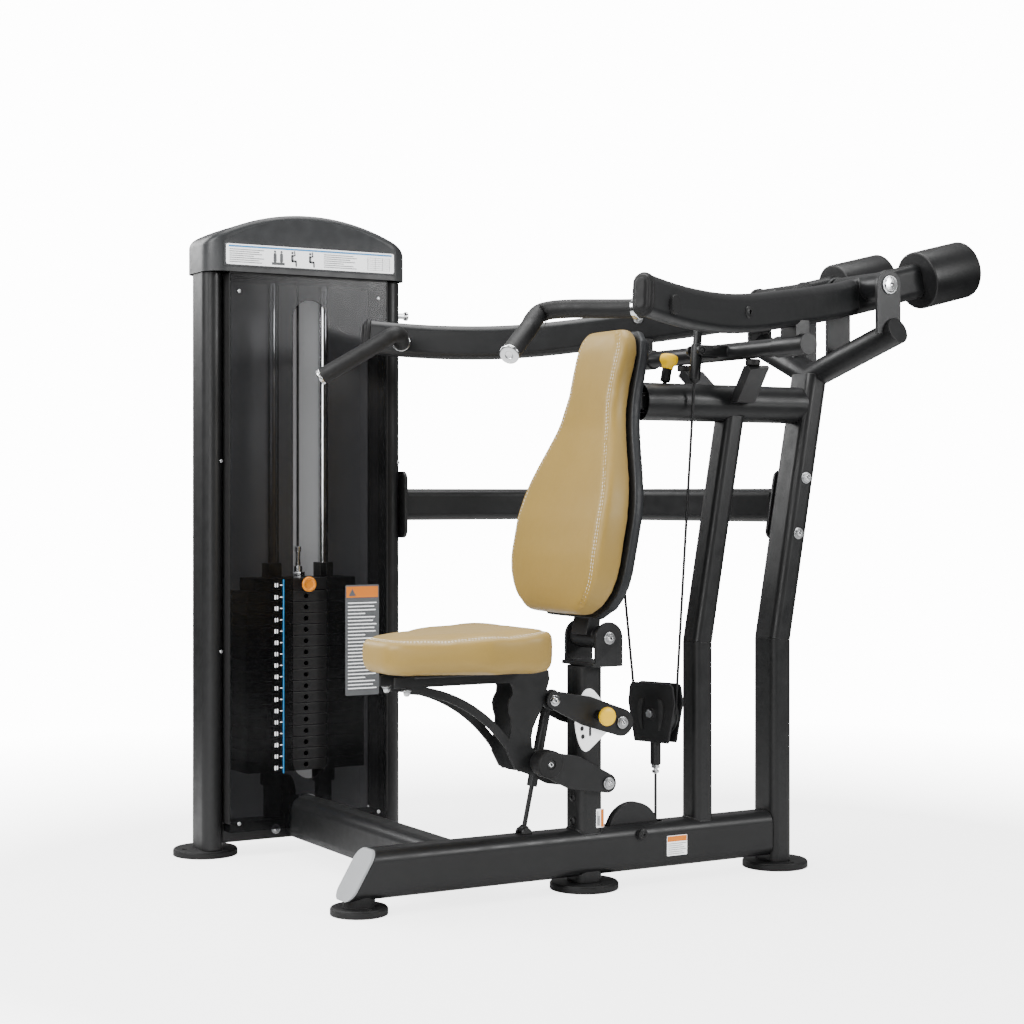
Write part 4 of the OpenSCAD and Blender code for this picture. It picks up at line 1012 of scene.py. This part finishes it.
def hose(name, points, radius=CABLE_R, sides=14):
    """Straight or gently curved round cable with rings every few millimetres, ends closed."""
    bm = bmesh.new()
    rings = []
    for i, p in enumerate(points):
        along = (points[min(i + 1, len(points) - 1)] - points[max(i - 1, 0)]).normalized()
        turn = UP.rotation_difference(along).to_matrix()
        rings.append(ring_of(bm, p, turn, radius, sides))
    for low, high in zip(rings, rings[1:]):
        bridge(bm, low, high)
    bm.faces.new(rings[0][::-1])
    bm.faces.new(rings[-1])
    return solid(name, bm, "jacket", None)


def straight(a, b, count=24):
    return [a.lerp(b, i / count) for i in range(count + 1)]


def cables():
    """The cable runs as straight lengths; the arm's run is two overlapping lengths on the cable terminal and on
    the pulley block, the other runs ride on no body.
    """
    ends = []
    for points, _ in islands("arm_cable"):
        low = min(points, key=lambda p: p.z).z
        high = max(points, key=lambda p: p.z).z
        foot = [p for p in points if p.z < low + 0.004]
        head = [p for p in points if p.z > high - 0.004]
        ends.append((sum(foot, Vector()) / len(foot), sum(head, Vector()) / len(head)))
    (left_foot, left_head), (right_foot, right_head) = sorted(ends, key=lambda e: e[0].x)
    stretch = hose("anchor_run", straight(left_foot, left_head, 60))
    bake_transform(stretch)
    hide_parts("arm_cable")
    middle = right_foot.lerp(right_head, 0.5)
    upper = hose("arm_run_upper", straight(middle, right_head))
    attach(upper, "cable_terminal")
    reach = right_foot.lerp(right_head, 0.78)
    lower = hose("arm_run_lower", straight(right_foot, reach), CABLE_R * 0.97)
    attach(lower, "pulley_block")
    for node, other, name in (("block_cable", "pulley_block", "floor_run"),
                              ("stack_cable", "weight_carriage", "stack_run")):
        lo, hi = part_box(node)
        centre = (lo + hi) / 2
        low, high = Vector((centre.x, centre.y, lo.z)), Vector((centre.x, centre.y, hi.z))
        run = hose(name, straight(low, high, 40))
        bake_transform(run)
        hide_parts(node)


RIB_OUTLINE = ((0.018, 0.034), (0.03, 0.03), (0.036, 0.012), (0.033, -0.012),
               (0.026, -0.034), (0.02, -0.036), (0.022, -0.012), (0.021, 0.012))


def pulley_block():
    """Moulded cheeks with raised ribs, a centre bolt, and the threaded stem in its sleeve."""
    refine("block_housing", "plastic", 1.6, 3)
    lo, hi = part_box("block_stem")
    middle = (lo + hi) / 2
    height, wide = hi.z - lo.z, (hi.x - lo.x) / 2
    top = Vector((middle.x, middle.y, hi.z))
    sleeve = [(0, 0), (wide, 0), (wide, height * 0.7), (wide * 0.8, height * 0.73), (0, height * 0.73)]
    tube = solid("stem_sleeve", turned(rounded(sleeve, 0.001), top, -UP, 32), "iron", "pulley_block")
    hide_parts("block_stem")
    nuts = [turned([(0, height * 0.72), (wide * 0.86, height * 0.72), (wide * 0.86, height * 0.82),
                    (0, height * 0.82)], top, -UP, 6),
            turned([(0, height * 0.8), (wide * 0.42, height * 0.8), (wide * 0.42, height * 0.995),
                    (0, height * 0.995)], top, -UP, 20),
            turned([(0, height * 0.9), (wide * 0.76, height * 0.9), (wide * 0.76, height * 0.97),
                    (0, height * 0.97)], top, -UP, 6)]
    nut_piece = solid("stem_nuts", merged(nuts), "chrome", "pulley_block")
    even_shading(nut_piece)
    centre = joint_at["block_pulley_spin"]
    normal = Vector(next(j["axis"] for j in frame["joints"] if j["name"] == "block_pulley_spin"))
    if normal.y > 0:
        normal = -normal
    across = UP.cross(normal).normalized()
    parts = []
    for side in (1, -1):
        face = centre + normal * side * 0.0166
        for flip in (1, -1):
            rib = [(flip * u, v) for u, v in RIB_OUTLINE]
            ridge = prism(rib[::flip], face, 0.0026, across, UP, normal * side)
            soften(ridge, 0.0009)
            parts.append(ridge)
    ribs = solid("block_ribs", merged(parts), "plastic", "pulley_block")
    even_shading(ribs)
    bolt = turned(rounded([(0, 0), (0.0085, 0), (0.0085, 0.006), (0, 0.006)], 0.0008),
                  centre + normal * 0.0205, normal, 6)
    even_shading(solid("block_bolt", bolt, "steel", "pulley_block"))


cables()
pulley_block()


# ---------- knobs and pins ----------

def knob(node, sleeve_share):
    """Yellow pull knob with a crowned head on a black sleeve, turned about its own axis."""
    (points, faces), = islands(node)
    start, axis, length, radius = round_part(points, faces)
    near = [p for p in points if (p - start).dot(axis) < 0.001]
    if max((p - start - axis * (p - start).dot(axis)).length for p in near) > radius * 0.6:
        start, axis = start + axis * length, -axis
    sleeve = radius * 0.55
    cut = length * sleeve_share
    short = 0.0035  # the pin ends before the hole that it locks, so that the joint can be posed
    pin = [(0, short), (0.005, short), (0.005, cut), (sleeve, cut), (sleeve, length * 0.62),
           (0, length * 0.62)]
    rod = solid(node + "_sleeve", turned(rounded(pin, 0.0012), start, axis, 40), "rubber", body_of[node])
    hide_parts(node)
    head = [(0, length * 0.58), (sleeve * 1.1, length * 0.58), (sleeve * 1.15, length * 0.68),
            (radius * 0.95, length * 0.78), (radius, length * 0.86), (radius * 0.93, length * 0.96),
            (radius * 0.5, length), (0, length * 1.0)]
    solid(node + "_head", turned(rounded(head, 0.003, 4), start, axis, 48), "yellow", body_of[node])


knob("seat_knob", 0.19)
knob("back_knob", 0.24)
refine("selector_pin", "orange", 0.8)
moulded("seat_rollers", "rubber", 0.0016, 5)
moulded("back_shell", "shell", 0.003, 14)


# ---------- cushions ----------

CLOTH = {"quality": 4, "mass": 0.3, "tension_stiffness": 60, "compression_stiffness": 60,
         "shear_stiffness": 30, "bending_stiffness": 60, "use_pressure": True,
         "uniform_pressure_force": PRESSURE}


def inflate(mesh):
    """Cloth simulation that fills the skin; no point moves further than MOST_SWELL."""
    scene = bpy.context.scene
    obj = placed("inflating", mesh)
    cloth = obj.modifiers.new("Cloth", "CLOTH")
    for key, value in CLOTH.items():
        setattr(cloth.settings, key, value)
    cloth.settings.effector_weights.gravity = 0
    cloth.point_cache.frame_start, cloth.point_cache.frame_end = 1, 20
    for step in range(1, 21):
        scene.frame_set(step)
    graph = bpy.context.evaluated_depsgraph_get()
    swollen = [v.co.copy() for v in obj.evaluated_get(graph).data.vertices]
    obj.modifiers.clear()
    for v, after in zip(mesh.vertices, swollen):
        move = after - v.co
        if move.length > MOST_SWELL:
            move *= MOST_SWELL / move.length
        v.co += move
    scene.frame_set(1)
    bpy.data.objects.remove(obj)


def hull_outline(points):
    """Convex outline of 2-D points, anticlockwise."""
    pts = sorted(set((round(p[0], 5), round(p[1], 5)) for p in points))
    def half(seq):
        out = []
        for p in seq:
            while len(out) > 1 and ((out[-1][0] - out[-2][0]) * (p[1] - out[-2][1])
                                    - (out[-1][1] - out[-2][1]) * (p[0] - out[-2][0])) <= 0:
                out.pop()
            out.append(p)
        return out[:-1]
    return half(pts) + half(pts[::-1])


def groove(mesh, path):
    """Sinks the surface along a seam path of (point, normal)."""
    tree = KDTree(len(path))
    for i, (p, _) in enumerate(path):
        tree.insert(p, i)
    tree.balance()
    for v in mesh.vertices:
        _, i, far = tree.find(v.co)
        if far < SEAM_REACH:
            v.co -= path[i][1] * SEAM_DEPTH * (0.5 + 0.5 * math.cos(math.pi * far / SEAM_REACH))


def stitches(name, path, body, offset, length=0.0056, thick=0.0009):
    """A row of thread stitches along a path of (point, normal), set off to one side."""
    whole = bmesh.new()
    for i in range(0, len(path) - 1):
        (p, n), (q, _) = path[i], path[i + 1]
        along = (q - p).normalized()
        side = along.cross(n).normalized()
        lift = side.cross(along).normalized()
        middle = (p + q) / 2 + side * offset + lift * thick * 0.6
        turn = Matrix((along, side, lift)).transposed()
        rows = []
        for t, r in ((-0.5, 0.25), (-0.38, 0.8), (0, 1), (0.38, 0.8), (0.5, 0.25)):
            rows.append([whole.verts.new(middle + turn @ Vector((
                t * length, r * thick * math.cos(a * math.pi / 3), r * thick * math.sin(a * math.pi / 3)
                - abs(t) * thick))) for a in range(6)])
        for low, high in zip(rows, rows[1:]):
            bridge(whole, low, high)
        whole.faces.new(rows[0][::-1])
        whole.faces.new(rows[-1])
    bmesh.ops.recalc_face_normals(whole, faces=whole.faces)
    solid(name, whole, "thread", body, sharp=80)


def stitch_rows(tag, path, tree, body):
    """Two rows of stitches, one on each side of a seam that was sunk into the surface."""
    settled = [(tree.find_nearest(p)[0], n) for p, n in path]
    stitches(tag + "_outer", settled, body, STITCH_OFFSET)
    stitches(tag + "_inner", settled, body, -STITCH_OFFSET)


def cushion(node):
    """Filled leather cushion in the place of the plain solid, before its seams."""
    mesh = moulded_mesh(node, 0.006, 3, grow=-0.003)
    inflate(mesh)
    obj = placed(node + "_skin", mesh)
    taut = obj.modifiers.new("taut", "SMOOTH")
    taut.factor, taut.iterations = 0.5, 24
    fine = obj.modifiers.new("fine", "SUBSURF")
    fine.levels = fine.render_levels = 1
    return evaluated(obj)


def seat_cushion():
    mesh = cushion("seat_pad")
    lo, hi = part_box("seat_pad")
    for v in mesh.vertices:
        v.co.z = max(v.co.z, lo.z + 0.0005)
    outline = hull_outline([(v.co.x, v.co.y) for v in mesh.vertices])
    centre = Vector((0, sum(p[1] for p in outline) / len(outline)))
    inset = 0.017
    ring = [p + (centre - p).normalized() * inset for p in resample(outline, STITCH_STEP)]
    tree = surface_tree(mesh)
    path = []
    for p in ring + [ring[0]]:
        hit = tree.ray_cast(Vector((p.x, p.y, hi.z + 0.1)), -UP)
        if hit[0]:
            path.append((hit[0], hit[1]))
    groove(mesh, path)
    tree = surface_tree(mesh)
    piece = solid("seat_cushion", mesh, "leather", "seat_carrier", sharp=180)
    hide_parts("seat_pad")
    stitch_rows("seat_stitches", path, tree, "seat_carrier")


def back_cushion():
    mesh = cushion("back_pad")
    lo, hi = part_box("back_pad")
    tree = surface_tree(mesh)
    paths = []
    for side in (1, -1):
        path = []
        heights = resample([(lo.z + 0.03, 0), (hi.z - 0.012, 0)], STITCH_STEP, closed=False)
        for h in heights:
            z = h.x
            hits = [tree.ray_cast(Vector((side * 0.4, lo.y + (hi.y - lo.y) * k / 8, z)),
                                  Vector((-side, 0, 0))) for k in range(9)]
            wide = max((abs(x[0].x) for x in hits if x[0]), default=None)
            if wide is None:
                continue
            x = side * (wide - 0.016)
            hit = tree.ray_cast(Vector((x, lo.y - 0.1, z)), Y_AXIS)
            if hit[0]:
                path.append((hit[0], hit[1]))
        paths.append(path)
    for path in paths:
        groove(mesh, path)
    tree = surface_tree(mesh)
    piece = solid("back_cushion", mesh, "leather", "back_rest", sharp=180)
    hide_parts("back_pad")
    for tag, path in zip(("left", "right"), paths):
        stitch_rows("back_stitches_" + tag, path, tree, "back_rest")


seat_cushion()
back_cushion()
